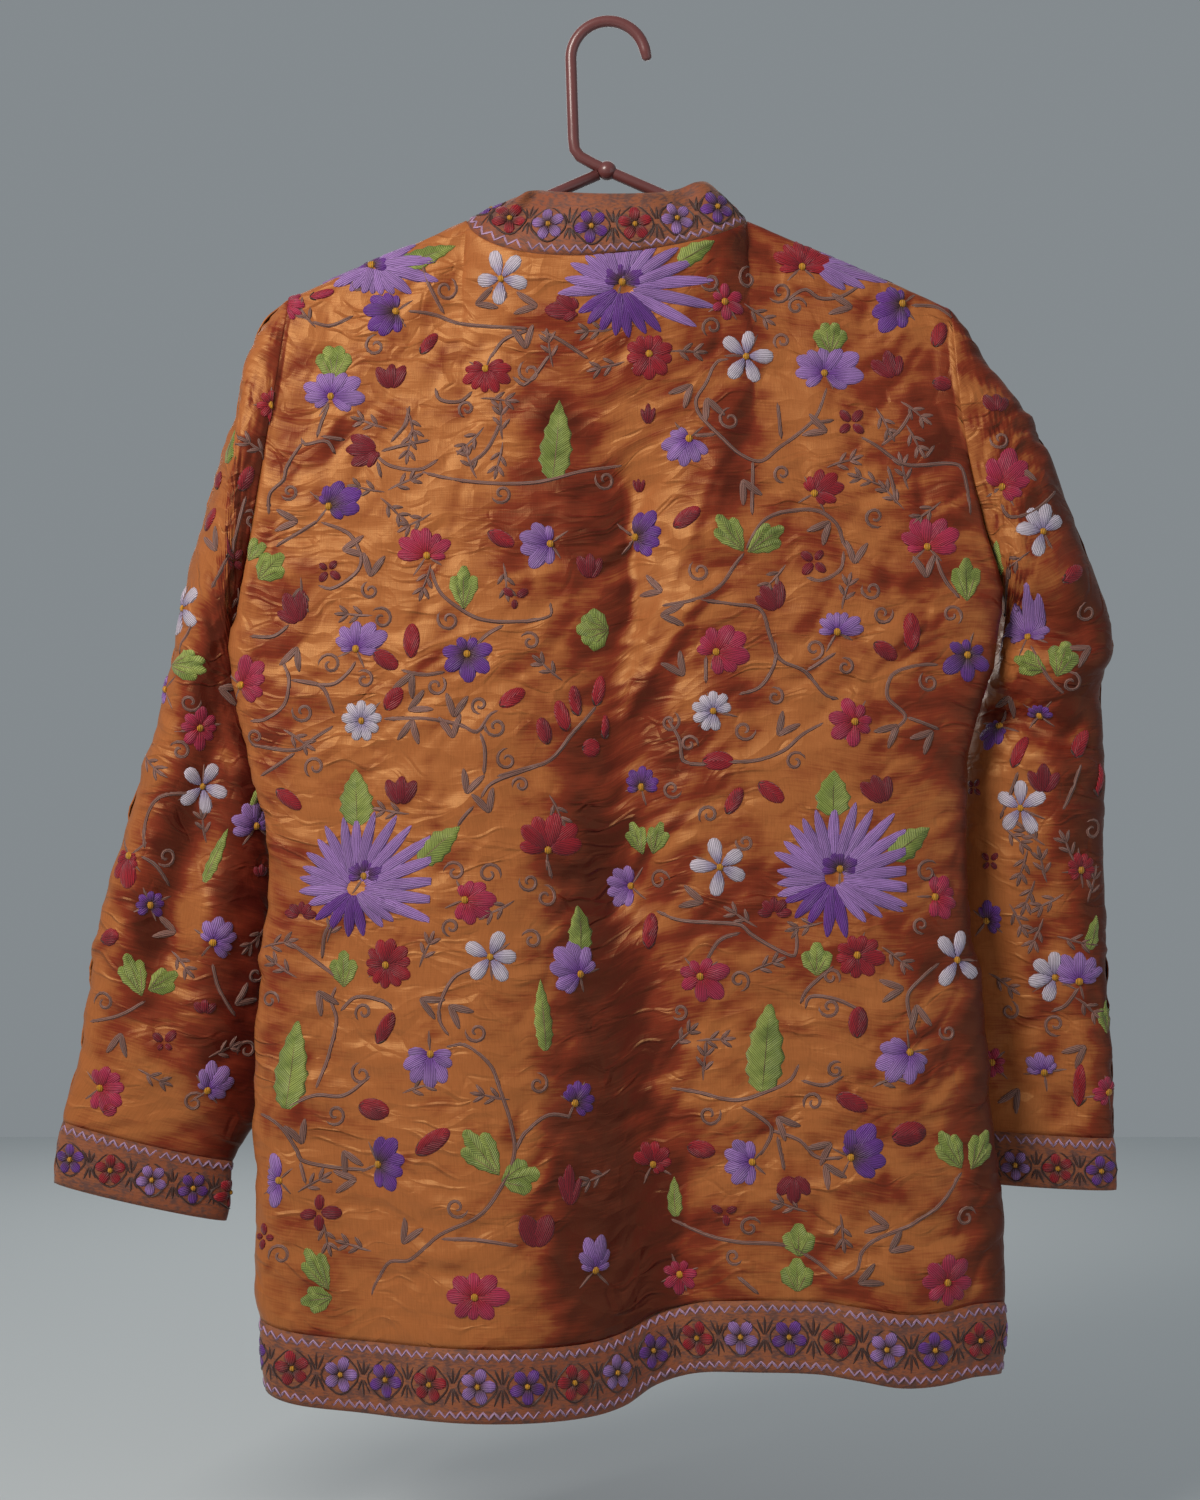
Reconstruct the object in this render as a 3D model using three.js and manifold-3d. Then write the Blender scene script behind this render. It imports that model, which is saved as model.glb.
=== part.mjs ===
// A long silk jacket with a stand collar, open at the front, hung on a tubular plastic hanger.
// Millimetres. +X is the wearer's right, +Y the wearer's front and +Z up, so a view along +Y shows the back.
// The origin is the inner top of the hanger's hook, where a nail or a rail carries everything.
import * as THREE from "three";
import { mergeVertices } from "three/addons/utils/BufferGeometryUtils.js";
import Module from "manifold-3d";

const WALL = 2; // cloth with its embroidery
const SEAM_GAP = 0.3; // between pieces that are sewn together
const SEAT_GAP = 0.5; // between the cloth and the hanger under it
const FRONT_GAP = 3; // between the two front edges
const HEM_BAND = 46; // height of the hem's border
const COLLAR_BULGE = 1.5; // how far the collar rounds outwards at half its height

// The hanger, a bent tube
const TUBE_RADIUS = 3.75;
const TUBE_SIDES = 8;
const HOOK_RADIUS = 24.4; // of the tube's centre line
const HOOK_CENTRE_X = 0.9;
const HOOK_TIP_DEG = 13; // where the hook ends, above its centre
const APEX_Z = -93.4; // where the two arms meet
const SHAFT = [{ x: -21.8, z: -73 }, { x: -21, z: -79.5 }, { x: -17.6, z: -84.2 }, { x: 0, z: APEX_Z }];
const ARM_SLOPE = 0.435; // fall for each millimetre outwards
const ARM_REACH = 191; // where an arm starts to bend round
const END_RADIUS = 12.5; // of the bend at an arm's end
const KNUCKLE_RADIUS = 6.7; // moulded lump where hook and arms join
const ARM_START = 5; // an arm's own tube starts this far from the apex

// Where the jacket sits on the hanger
const ARM_TOP = TUBE_RADIUS * Math.hypot(1, ARM_SLOPE) + SEAT_GAP + WALL;
const shoulderHeight = (x) => APEX_Z + ARM_TOP - ARM_SLOPE * Math.abs(x);
const SHOULDER_END = { left: -206, right: 223 };
const NECK = { x: 0, halfWidth: 90.5, share: 0.2857 };
const NECK_ROUND = 0.7; // how squarely the neckline turns at the shoulders
const UNDERARM = { left: { x: -240, z: -386 }, right: { x: 257, z: -366 } };
const ARMHOLE_DEPTH = 20; // half the armhole's width from back to front
const ARMHOLE_CURVE = { left: 1.2, right: 2 }; // 1 is a straight armhole, more swings out at the underarm
const RIDGE_RADIUS = 6.6; // the cloth's round over the hanger's arm
const RIDGE_FALL = 90; // how fast the cloth opens below the shoulder
const NECK_FALL = 180; // how fast the neckline's round fades below it
const FOLD_FALL = 60; // how fast the folds open below the shoulder
const EDGE_SHARP = { shoulder: 7, side: 3.4 }; // how late the cloth turns towards its side edges

// The side seams, from the underarm to the hem
const SIDE_LEFT = [
  { z: -386, x: -240 }, { z: -413, x: -243 }, { z: -437, x: -239 }, { z: -485, x: -229 },
  { z: -512, x: -221 }, { z: -550, x: -218 }, { z: -611, x: -223 }, { z: -665, x: -226 },
  { z: -804, x: -225.5 }, { z: -850, x: -222 }, { z: -890, x: -219.5 },
];
const SIDE_RIGHT = [
  { z: -366, x: 257 }, { z: -387, x: 254 }, { z: -414, x: 250 }, { z: -440, x: 242 },
  { z: -475, x: 233 }, { z: -522, x: 231 }, { z: -573, x: 232 }, { z: -607, x: 238 },
  { z: -641, x: 242 }, { z: -700, x: 247 }, { z: -764, x: 253 }, { z: -830, x: 256 },
  { z: -880, x: 253 },
];
const SIDE_SEAM_Y = [{ z: -366, y: 0 }, { z: -560, y: -8 }, { z: -890, y: -8 }];

// The two faces of the body: how far each stands off the hanger's plane, its hem, neckline and folds.
// A fold runs straight from (x1, z1) to (x2, z2); its rise is outwards, and it is width wide to each side.
const BACK = {
  outwards: -1,
  neckDepth: 33,
  neckDrop: 27.3,
  neckCurve: 1.1,
  neckSkew: -3.5,
  depth: [
    { z: -180, out: 16 }, { z: -250, out: 24 }, { z: -330, out: 30 }, { z: -430, out: 36 },
    { z: -560, out: 42 }, { z: -700, out: 46 }, { z: -890, out: 50 },
  ],
  hem: [
    { u: -1, z: -876 }, { u: -0.9, z: -880 }, { u: -0.69, z: -886.5 }, { u: -0.49, z: -890 },
    { u: -0.25, z: -890.5 }, { u: -0.09, z: -890.5 }, { u: -0.015, z: -886.5 }, { u: 0.04, z: -876.5 },
    { u: 0.15, z: -867 }, { u: 0.32, z: -864.5 }, { u: 0.41, z: -867.5 }, { u: 0.5, z: -871.5 },
    { u: 0.6, z: -871 }, { u: 0.73, z: -867 }, { u: 1, z: -869 },
  ],
  folds: [
    { x1: -95, z1: -330, x2: -72, z2: -940, width: 44, rise1: 3, rise2: 26 },
    { x1: -45, z1: -195, x2: 12, z2: -300, width: 13, rise1: -3, rise2: -9 },
    { x1: 14, z1: -300, x2: 6, z2: -560, width: 17, rise1: -9, rise2: -13 },
    { x1: 6, z1: -560, x2: 54, z2: -940, width: 26, rise1: -13, rise2: -34 },
    { x1: 155, z1: -420, x2: 188, z2: -940, width: 46, rise1: 3, rise2: 13 },
    { x1: -170, z1: -520, x2: -158, z2: -940, width: 22, rise1: -2, rise2: -7 },
    { x1: 112, z1: -560, x2: 122, z2: -940, width: 22, rise1: -2, rise2: -7 },
    { x1: 70, z1: -190, x2: 62, z2: -420, width: 22, rise1: 4, rise2: 3 },
  ],
};
const FRONT = {
  outwards: 1,
  neckDepth: 24,
  neckDrop: 60,
  neckCurve: 1.7,
  neckSkew: 0,
  depth: [
    { z: -180, out: 11 }, { z: -250, out: 15 }, { z: -330, out: 18 }, { z: -430, out: 21 },
    { z: -560, out: 23 }, { z: -700, out: 25 }, { z: -890, out: 27 },
  ],
  hem: [
    { u: -1, z: -876 }, { u: -0.5, z: -884 }, { u: 0, z: -880 }, { u: 0.5, z: -868 },
    { u: 1, z: -869 },
  ],
  folds: [
    { x1: -110, z1: -300, x2: -120, z2: -940, width: 30, rise1: 2, rise2: 10 },
    { x1: -60, z1: -420, x2: -58, z2: -940, width: 20, rise1: -1, rise2: -7 },
    { x1: 118, z1: -300, x2: 132, z2: -940, width: 30, rise1: 2, rise2: 9 },
    { x1: 68, z1: -460, x2: 72, z2: -940, width: 20, rise1: -1, rise2: -6 },
  ],
};

// A sleeve is a row of rings. Each spans from its outer edge (ox, oy, oz) to its inner edge (ix, iy, iz),
// and it is half as deep as depth says. The last row is the cuff's lower edge.
const SLEEVE_LEFT = {
  outwards: -1,
  curve: ARMHOLE_CURVE.left,
  rings: [
    { ox: -206, oy: 0, oz: shoulderHeight(-206), ix: -240, iy: 0, iz: -386, depth: ARMHOLE_DEPTH },
    { ox: -228, oy: 1, oz: -202, ix: -246, iy: 5, iz: -402, depth: 25 },
    { ox: -240, oy: 3, oz: -248, ix: -246, iy: 11, iz: -421, depth: 28 },
    { ox: -254, oy: 5, oz: -295, ix: -240, iy: 18, iz: -444, depth: 29 },
    { ox: -272, oy: 7, oz: -360, ix: -228, iy: 23, iz: -484, depth: 28 },
    { ox: -291, oy: 8, oz: -448, ix: -219, iy: 26, iz: -528, depth: 26 },
    { ox: -317, oy: 8, oz: -534, ix: -217, iy: 28, iz: -590, depth: 24 },
    { ox: -334, oy: 8, oz: -604, ix: -221, iy: 29, iz: -650, depth: 22 },
    { ox: -342, oy: 8, oz: -666, ix: -227, iy: 28, iz: -702, depth: 20 },
    { ox: -355, oy: 8, oz: -712, ix: -246, iy: 22, iz: -740, depth: 17 },
    { ox: -361, oy: 8, oz: -752, ix: -250, iy: 20, iz: -779, depth: 15 },
  ],
  folds: [
    { x1: -236, z1: -395, x2: -287, z2: -600, width: 13, rise1: -8, rise2: -13 },
    { x1: -255, z1: -567, x2: -262, z2: -700, width: 17, rise1: 6, rise2: 4 },
    { x1: -250, z1: -320, x2: -318, z2: -620, width: 14, rise1: 3, rise2: 5 },
    { x1: -300, z1: -665, x2: -255, z2: -690, width: 10, rise1: 5, rise2: 3 },
  ],
};
const SLEEVE_RIGHT = {
  outwards: 1,
  curve: ARMHOLE_CURVE.right,
  rings: [
    { ox: 223, oy: 0, oz: shoulderHeight(223), ix: 257, iy: 0, iz: -366, depth: ARMHOLE_DEPTH },
    { ox: 243, oy: 1, oz: -215, ix: 261, iy: 6, iz: -384, depth: 26 },
    { ox: 270, oy: 3, oz: -250, ix: 259, iy: 14, iz: -402, depth: 32 },
    { ox: 295, oy: 6, oz: -302, ix: 252, iy: 22, iz: -425, depth: 35 },
    { ox: 328, oy: 8, oz: -393, ix: 241, iy: 29, iz: -456, depth: 35 },
    { ox: 321, oy: 9, oz: -426, ix: 233, iy: 32, iz: -488, depth: 33 },
    { ox: 323, oy: 10, oz: -492, ix: 226, iy: 34, iz: -542, depth: 31 },
    { ox: 323, oy: 10, oz: -562, ix: 228, iy: 35, iz: -598, depth: 29 },
    { ox: 326, oy: 10, oz: -634, ix: 232, iy: 38, iz: -656, depth: 26 },
    { ox: 331, oy: 10, oz: -723, ix: 224, iy: 46, iz: -719, depth: 19 },
    { ox: 333, oy: 10, oz: -757, ix: 226, iy: 46, iz: -755, depth: 17 },
  ],
  folds: [
    { x1: 250, z1: -345, x2: 300, z2: -358, width: 11, rise1: 6, rise2: 8 },
    { x1: 256, z1: -384, x2: 305, z2: -396, width: 10, rise1: -17, rise2: -8 },
    { x1: 262, z1: -412, x2: 318, z2: -408, width: 10, rise1: 4, rise2: 8 },
    { x1: 247, z1: -440, x2: 295, z2: -462, width: 9, rise1: -14, rise2: -9 },
    { x1: 288, z1: -480, x2: 290, z2: -560, width: 14, rise1: 6, rise2: 3 },
    { x1: 283, z1: -560, x2: 300, z2: -700, width: 10, rise1: -5, rise2: -8 },
    { x1: 252, z1: -590, x2: 268, z2: -690, width: 10, rise1: -6, rise2: -6 },
  ],
};

// The collar's upper edge, by the angle round the neck: 0 is the centre back, 180 the front edge.
const COLLAR_TOP = [
  { angle: -180, x: 0, y: 12, z: -150 }, { angle: -150, x: -36, y: 12, z: -141 },
  { angle: -120, x: -56, y: 12, z: -123 }, { angle: -105, x: -56, y: 8, z: -116 },
  { angle: -90, x: -56, y: 1, z: -110 }, { angle: -75, x: -57, y: -9, z: -112.5 },
  { angle: -60, x: -52, y: -15, z: -110 }, { angle: -45, x: -43, y: -7, z: -107.5 },
  { angle: -30, x: -34, y: -18, z: -110.5 }, { angle: -15, x: -20, y: -27, z: -113 },
  { angle: 0, x: 0, y: -29, z: -114 }, { angle: 22, x: 30, y: -27, z: -113 },
  { angle: 40, x: 46, y: -16, z: -108.5 }, { angle: 55, x: 57, y: -18, z: -104.5 },
  { angle: 72, x: 66, y: -12, z: -104 }, { angle: 90, x: 71, y: 4, z: -110 },
  { angle: 108, x: 68, y: 10, z: -118 }, { angle: 130, x: 55, y: 12, z: -131 },
  { angle: 155, x: 30, y: 12, z: -144 }, { angle: 180, x: 5, y: 12, z: -150 },
];

// How finely each piece is divided
const ARMHOLE_ANGLES = [0, 9, 16, 23, 33, 45, 60, 75, 90, 105, 120, 135, 150, 165, 180];
const NECK_ANGLES = [90, 81, 68, 52, 34, 17, 0];
const SIDE_STEPS = 12;
const SHOULDER_SHARES = [1, 0.84, 0.72, 0.61, 0.51, 0.42, 0.35, NECK.share];
const COLLAR_STEPS = 3;
const BAND_STEPS = 2;
const SLEEVE_STEPS = 21;
const HOOK_BENDS = 16;
const END_BENDS = 7;
const ARM_STEPS = 6;
const KNUCKLE_STEPS = 8;
const MERGE_DISTANCE = 1e-4;
const RIM_SPLIT = new THREE.Vector3(0.35, 0.15, 1); // two rims that meet are cut along one diagonal

const MATERIALS = {
  silk: new THREE.MeshStandardMaterial({ color: 0xa8682c, roughness: 0.5, metalness: 0 }),
  border: new THREE.MeshStandardMaterial({ color: 0x7a4a30, roughness: 0.75, metalness: 0 }),
  plastic: new THREE.MeshStandardMaterial({ color: 0x6b3a3a, roughness: 0.35, metalness: 0 }),
};

const mix = (a, b, share) => a + (b - a) * share;
const ease = (t) => t * t * (3 - 2 * t);
const clamp01 = (t) => Math.min(1, Math.max(0, t));
const steps = (count, from, to) =>
  Array.from({ length: count + 1 }, (_, i) => mix(from, to, i / count));
const radians = (degrees) => (degrees * Math.PI) / 180;

// One column of a table at any value of its key column, on a smooth curve through its rows.
function lookUp(rows, key, column, at) {
  const rising = rows[rows.length - 1][key] > rows[0][key] ? 1 : -1;
  let i = 0;
  while (i < rows.length - 2 && (at - rows[i + 1][key]) * rising > 0) i++;
  const slope = (j) => {
    const before = rows[Math.max(j - 1, 0)];
    const after = rows[Math.min(j + 1, rows.length - 1)];
    return (after[column] - before[column]) / (after[key] - before[key]);
  };
  const [a, b] = [rows[i], rows[i + 1]];
  const span = b[key] - a[key];
  const t = clamp01((at - a[key]) / span);
  const [t2, t3] = [t * t, t * t * t];
  return (
    (2 * t3 - 3 * t2 + 1) * a[column] + (t3 - 2 * t2 + t) * span * slope(i) +
    (3 * t2 - 2 * t3) * b[column] + (t3 - t2) * span * slope(i + 1)
  );
}

// How far the folds lift the cloth at a place, outwards.
function foldRise(folds, x, z) {
  return folds.reduce((sum, fold) => {
    const [alongX, alongZ] = [fold.x2 - fold.x1, fold.z2 - fold.z1];
    const share = clamp01(
      ((x - fold.x1) * alongX + (z - fold.z1) * alongZ) / (alongX ** 2 + alongZ ** 2),
    );
    const away = Math.hypot(x - fold.x1 - share * alongX, z - fold.z1 - share * alongZ);
    return sum + mix(fold.rise1, fold.rise2, share) * Math.exp(-0.5 * (away / fold.width) ** 2);
  }, 0);
}

// The upper edge of a body face: the shoulder seam outside the neck, the neckline inside it.
function topEdge(face, u) {
  const across = Math.abs(u);
  const end = u < 0 ? SHOULDER_END.left : SHOULDER_END.right;
  const sideNeck = NECK.x + Math.sign(u) * NECK.halfWidth;
  if (across >= NECK.share) {
    const from = Math.sin(radians(90 * NECK.share));
    const x = mix(sideNeck, end, (Math.sin(radians(90 * across)) - from) / (1 - from));
    return new THREE.Vector3(x, 0, shoulderHeight(x));
  }
  const angle = radians((90 * u) / NECK.share);
  const side = mix(
    shoulderHeight(NECK.x - NECK.halfWidth), shoulderHeight(NECK.x + NECK.halfWidth),
    (1 + Math.sin(angle)) / 2,
  );
  const drop = face.neckDrop * Math.cos(angle) ** face.neckCurve + face.neckSkew * Math.sin(2 * angle);
  return new THREE.Vector3(
    NECK.x + NECK.halfWidth * Math.sin(angle),
    face.outwards * face.neckDepth * Math.cos(angle) ** NECK_ROUND,
    side - drop,
  );
}

// A point of the body. u runs from the left side seam, -1, to the right one, 1; v from the top edge, 0,
// past the underarm, 1, and the top of the hem's border, 2, to the hem, 3.
function bodyPoint(face, u, v) {
  const top = topEdge(face, u);
  const spread = Math.sin(radians(90 * u));
  const chest = mix(UNDERARM.left.z, UNDERARM.right.z, (spread + 1) / 2);
  const heightAt = (side, topZ, chestZ) => {
    const hem = lookUp(face.hem, "u", "z", side);
    if (v <= 1) return mix(topZ, chestZ, v);
    return v <= 2 ? mix(chestZ, hem + HEM_BAND, v - 1) : mix(hem + HEM_BAND, hem, v - 2);
  };
  const z = heightAt(u, top.z, chest);
  const edgeX = (side, name, table) =>
    v < 1
      ? mix(SHOULDER_END[name], UNDERARM[name].x, v ** ARMHOLE_CURVE[name])
      : lookUp(table, "z", "x", heightAt(side, 0, UNDERARM[name].z));
  const straight = (left, right) => mix(left, right, (spread + 1) / 2);
  const gather = top.x - straight(SHOULDER_END.left, SHOULDER_END.right);
  const x =
    straight(edgeX(-1, "left", SIDE_LEFT), edgeX(1, "right", SIDE_RIGHT)) + gather * (1 - ease(clamp01(v)));

  const edgeY =
    v < 1
      ? face.outwards * ARMHOLE_DEPTH * 2 * Math.sqrt(v * (1 - v))
      : lookUp(SIDE_SEAM_Y, "z", "y", z);
  const below = top.z - z;
  const round = RIDGE_RADIUS * Math.sqrt(1 - (1 - clamp01(below / RIDGE_RADIUS)) ** 2);
  const open = (lookUp(face.depth, "z", "out", z) - RIDGE_RADIUS) * (1 - Math.exp(-below / RIDGE_FALL));
  const neck = Math.abs(top.y) * Math.exp(-below / NECK_FALL);
  const full = Math.sqrt(1 - Math.abs(u) ** mix(EDGE_SHARP.shoulder, EDGE_SHARP.side, ease(clamp01(v))));
  const rise = foldRise(face.folds, x, z) * full * (1 - Math.exp(-below / FOLD_FALL));
  const y = mix(edgeY, face.outwards * Math.hypot(round + open, neck), full) + face.outwards * rise;
  return new THREE.Vector3(x, y, z);
}

// A point of a sleeve. angle 0 is its outer edge, 90 its back, 180 the underarm seam; row counts its rings.
function sleevePoint(sleeve, angle, row) {
  const rings = sleeve.rings.map((ring, index) => ({ ...ring, index }));
  const at = (column) => lookUp(rings, "index", column, row);
  const [outer, back] = [Math.cos(radians(angle)), Math.sin(radians(angle))];
  const share = (1 - outer) / 2;
  const swing = (share ** sleeve.curve - share) * (1 - clamp01(row));
  const x = mix(at("ox"), at("ix"), share + swing);
  const z = mix(at("oz"), at("iz"), share);
  const rise = back > 0 ? foldRise(sleeve.folds, x, z) * back * ease(clamp01(row)) : 0;
  return new THREE.Vector3(x, mix(at("oy"), at("iy"), share) - back * at("depth") - rise, z);
}

// A point of the collar, from its seam, height 0, to its upper edge, height 1.
function collarPoint(angle, height) {
  const seam =
    Math.abs(angle) <= 90
      ? topEdge(BACK, (NECK.share * angle) / 90)
      : topEdge(FRONT, (Math.sign(angle) * NECK.share * (180 - Math.abs(angle))) / 90);
  const at = (column) => lookUp(COLLAR_TOP, "angle", column, angle);
  const point = seam.clone().lerp(new THREE.Vector3(at("x"), at("y"), at("z")), height);
  point.y -= Math.cos(radians(angle)) * COLLAR_BULGE * Math.sin(Math.PI * height);
  return point;
}

// A piece of cloth before it has a thickness: rows of points, with the wall direction at each.
function clothPiece({ name, material, point, across, down, closed = false, outwards, drawIn = {} }) {
  const rows = down.map((v) => across.map((u) => point(u, v)));
  const last = across.length - 1;
  const column = (i) => (closed ? (i + across.length) % across.length : Math.min(Math.max(i, 0), last));
  const walls = rows.map((row, j) =>
    row.map((_, i) => {
      const along = row[column(i + 1)].clone().sub(row[column(i - 1)]);
      const up = rows[Math.max(j - 1, 0)][i];
      return rows[Math.min(j + 1, rows.length - 1)][i].clone().sub(up).cross(along)
        .multiplyScalar(-outwards).normalize();
    }),
  );
  return { name, material, rows, walls, closed, outwards, drawIn };
}

// Points that meet at a seam take one wall direction, so that the walls meet in a mitre.
function shareSeamWalls(pieces) {
  const edge = pieces.flatMap(({ rows, walls, closed }) =>
    rows.flatMap((row, j) =>
      row.flatMap((point, i) => {
        const inside = j > 0 && j < rows.length - 1 && (closed || (i > 0 && i < row.length - 1));
        return inside ? [] : [{ point, closed, wall: walls[j][i] }];
      }),
    ),
  );
  const shared = edge.map(({ point }) => {
    const here = edge.filter((other) => other.point.distanceTo(point) < SEAM_GAP / 2);
    const [tube, flat] = [true, false].map((kind) =>
      here
        .filter(({ closed }) => closed === kind)
        .reduce((sum, { wall }) => sum.add(wall), new THREE.Vector3())
        .normalize(),
    );
    return tube.add(flat).normalize();
  });
  edge.forEach(({ wall }, n) => wall.copy(shared[n]));
}

// Draws a piece's edges back from its seams.
function drawInEdges({ rows, closed, drawIn }) {
  const { top = SEAM_GAP / 2, bottom = SEAM_GAP / 2, start = SEAM_GAP / 2, end = SEAM_GAP / 2 } = drawIn;
  const draw = (edge, inner, by) => edge.add(inner.clone().sub(edge).setLength(by));
  const lastRow = rows.length - 1;
  rows[0].forEach((p, i) => draw(p, rows[1][i], top));
  rows[lastRow].forEach((p, i) => draw(p, rows[lastRow - 1][i], bottom));
  if (closed) return;
  for (const row of rows) {
    draw(row[0], row[1], start);
    draw(row[row.length - 1], row[row.length - 2], end);
  }
}

// A closed wall: the outer face, the same points moved in by the wall, and a rim round every edge.
function wallMesh({ name, material, rows, walls, closed, outwards }) {
  const wide = rows[0].length;
  const outer = rows.flat();
  const inner = outer.map((p, n) => p.clone().addScaledVector(walls.flat()[n], -WALL));
  const faces = [];
  for (let j = 0; j < rows.length - 1; j++)
    for (let i = 0; i < (closed ? wide : wide - 1); i++) {
      const [a, b] = [j * wide + i, j * wide + ((i + 1) % wide)];
      const quad = [[a, b, b + wide], [a, b + wide, a + wide]];
      faces.push(...(outwards > 0 ? quad : quad.map(([p, q, r]) => [p, r, q])));
    }
  const edges = new Set(faces.flatMap(([a, b, c]) => [`${a}_${b}`, `${b}_${c}`, `${c}_${a}`]));
  const rim = [...edges]
    .map((edge) => edge.split("_").map(Number))
    .filter(([a, b]) => !edges.has(`${b}_${a}`))
    .flatMap(([a, b]) => {
      const [a2, b2] = [a + outer.length, b + outer.length];
      const falls = outer[a].dot(RIM_SPLIT) > outer[b].dot(RIM_SPLIT);
      return falls ? [[b, a, b2], [a, a2, b2]] : [[b, a, a2], [b, a2, b2]];
    });
  const inside = faces.map(([a, b, c]) => [a + outer.length, c + outer.length, b + outer.length]);
  const geometry = new THREE.BufferGeometry();
  geometry.setAttribute(
    "position",
    new THREE.Float32BufferAttribute([...outer, ...inner].flatMap((p) => [p.x, p.y, p.z]), 3),
  );
  geometry.setIndex([...faces, ...inside, ...rim].flat());
  geometry.computeVertexNormals();
  const mesh = new THREE.Mesh(geometry, material);
  mesh.name = name;
  return mesh;
}

function jacketPieces() {
  const armhole = ARMHOLE_ANGLES.map((angle) => (1 - Math.cos(radians(angle))) / 2);
  const down = [...armhole, ...steps(SIDE_STEPS, 1, 2).slice(1)];
  const border = steps(BAND_STEPS, 2, 3);
  const neckline = NECK_ANGLES.slice(1).map((angle) => (NECK.share * angle) / 90);
  const leftHalf = [...SHOULDER_SHARES, ...neckline].map((u) => -u);
  const rightHalf = [...SHOULDER_SHARES, ...neckline].reverse();
  const acrossFront = { left: leftHalf, right: rightHalf };
  const acrossBack = [...leftHalf, ...rightHalf.slice(1)];
  const ring = [...ARMHOLE_ANGLES, ...ARMHOLE_ANGLES.slice(1, -1).reverse().map((angle) => 360 - angle)];
  const bodyPiece = (name, face, across, rows, material, drawIn) =>
    clothPiece({
      name, material, across, drawIn, down: rows,
      point: (u, v) => bodyPoint(face, u, v), outwards: face.outwards,
    });
  const pieces = [
    bodyPiece("back", BACK, acrossBack, down, MATERIALS.silk),
    bodyPiece("hem_back", BACK, acrossBack, border, MATERIALS.border),
  ];
  for (const [side, sleeve] of [["left", SLEEVE_LEFT], ["right", SLEEVE_RIGHT]]) {
    const openEdge = side === "left" ? { end: FRONT_GAP / 2 } : { start: FRONT_GAP / 2 };
    const sleevePiece = (name, rows, material) =>
      clothPiece({
        name, material, across: ring, down: rows, closed: true,
        point: (angle, row) => sleevePoint(sleeve, angle, row), outwards: sleeve.outwards,
      });
    const cuffTop = sleeve.rings.length - 2;
    pieces.push(
      bodyPiece(`front_${side}`, FRONT, acrossFront[side], down, MATERIALS.silk, openEdge),
      bodyPiece(`hem_front_${side}`, FRONT, acrossFront[side], border, MATERIALS.border, openEdge),
      sleevePiece(`sleeve_${side}`, steps(SLEEVE_STEPS, 0, cuffTop), MATERIALS.silk),
      sleevePiece(`cuff_${side}`, steps(BAND_STEPS, cuffTop, cuffTop + 1), MATERIALS.border),
    );
  }
  const frontAngles = NECK_ANGLES.map((angle) => 180 - angle);
  const leftAngles = [...frontAngles.reverse(), ...NECK_ANGLES.slice(1)].map((angle) => -angle);
  pieces.push(
    clothPiece({
      name: "collar", material: MATERIALS.border, outwards: 1,
      across: [...leftAngles, ...leftAngles.slice(0, -1).reverse().map((angle) => -angle)],
      down: steps(COLLAR_STEPS, 0, 1),
      point: collarPoint,
      drawIn: { start: FRONT_GAP / 2, end: FRONT_GAP / 2 },
    }),
  );
  return pieces;
}

// A line through listed points, which ExtrudeGeometry follows with one ring at each.
class Route extends THREE.Curve {
  constructor(points) {
    super();
    this.points = points;
  }
  getPointAt(share) {
    return this.points[Math.round(share * (this.points.length - 1))].clone();
  }
  getTangentAt(share) {
    const n = Math.round(share * (this.points.length - 1));
    const before = this.points[Math.max(n - 1, 0)];
    return this.points[Math.min(n + 1, this.points.length - 1)].clone().sub(before).normalize();
  }
}

const inPlane = (x, z) => new THREE.Vector3(x, 0, z);
const arc = (centreX, centreZ, radius, fromDeg, toDeg, count) =>
  steps(count, fromDeg, toDeg).map((angle) =>
    inPlane(centreX + radius * Math.cos(radians(angle)), centreZ + radius * Math.sin(radians(angle))),
  );

function tubeAlong(points) {
  const section = new THREE.Shape(
    steps(TUBE_SIDES, 0, 360).slice(0, -1).map((angle) =>
      new THREE.Vector2(Math.cos(radians(angle)), Math.sin(radians(angle))).multiplyScalar(TUBE_RADIUS),
    ),
  );
  return new THREE.ExtrudeGeometry(section, { steps: points.length - 1, extrudePath: new Route(points) });
}

function asSolid(wasm, geometry) {
  geometry.deleteAttribute("normal");
  geometry.deleteAttribute("uv");
  const merged = mergeVertices(geometry, MERGE_DISTANCE);
  return new wasm.Manifold(
    new wasm.Mesh({
      numProp: 3,
      vertProperties: merged.attributes.position.array,
      triVerts: new Uint32Array(merged.index.array),
    }),
  );
}

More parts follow.
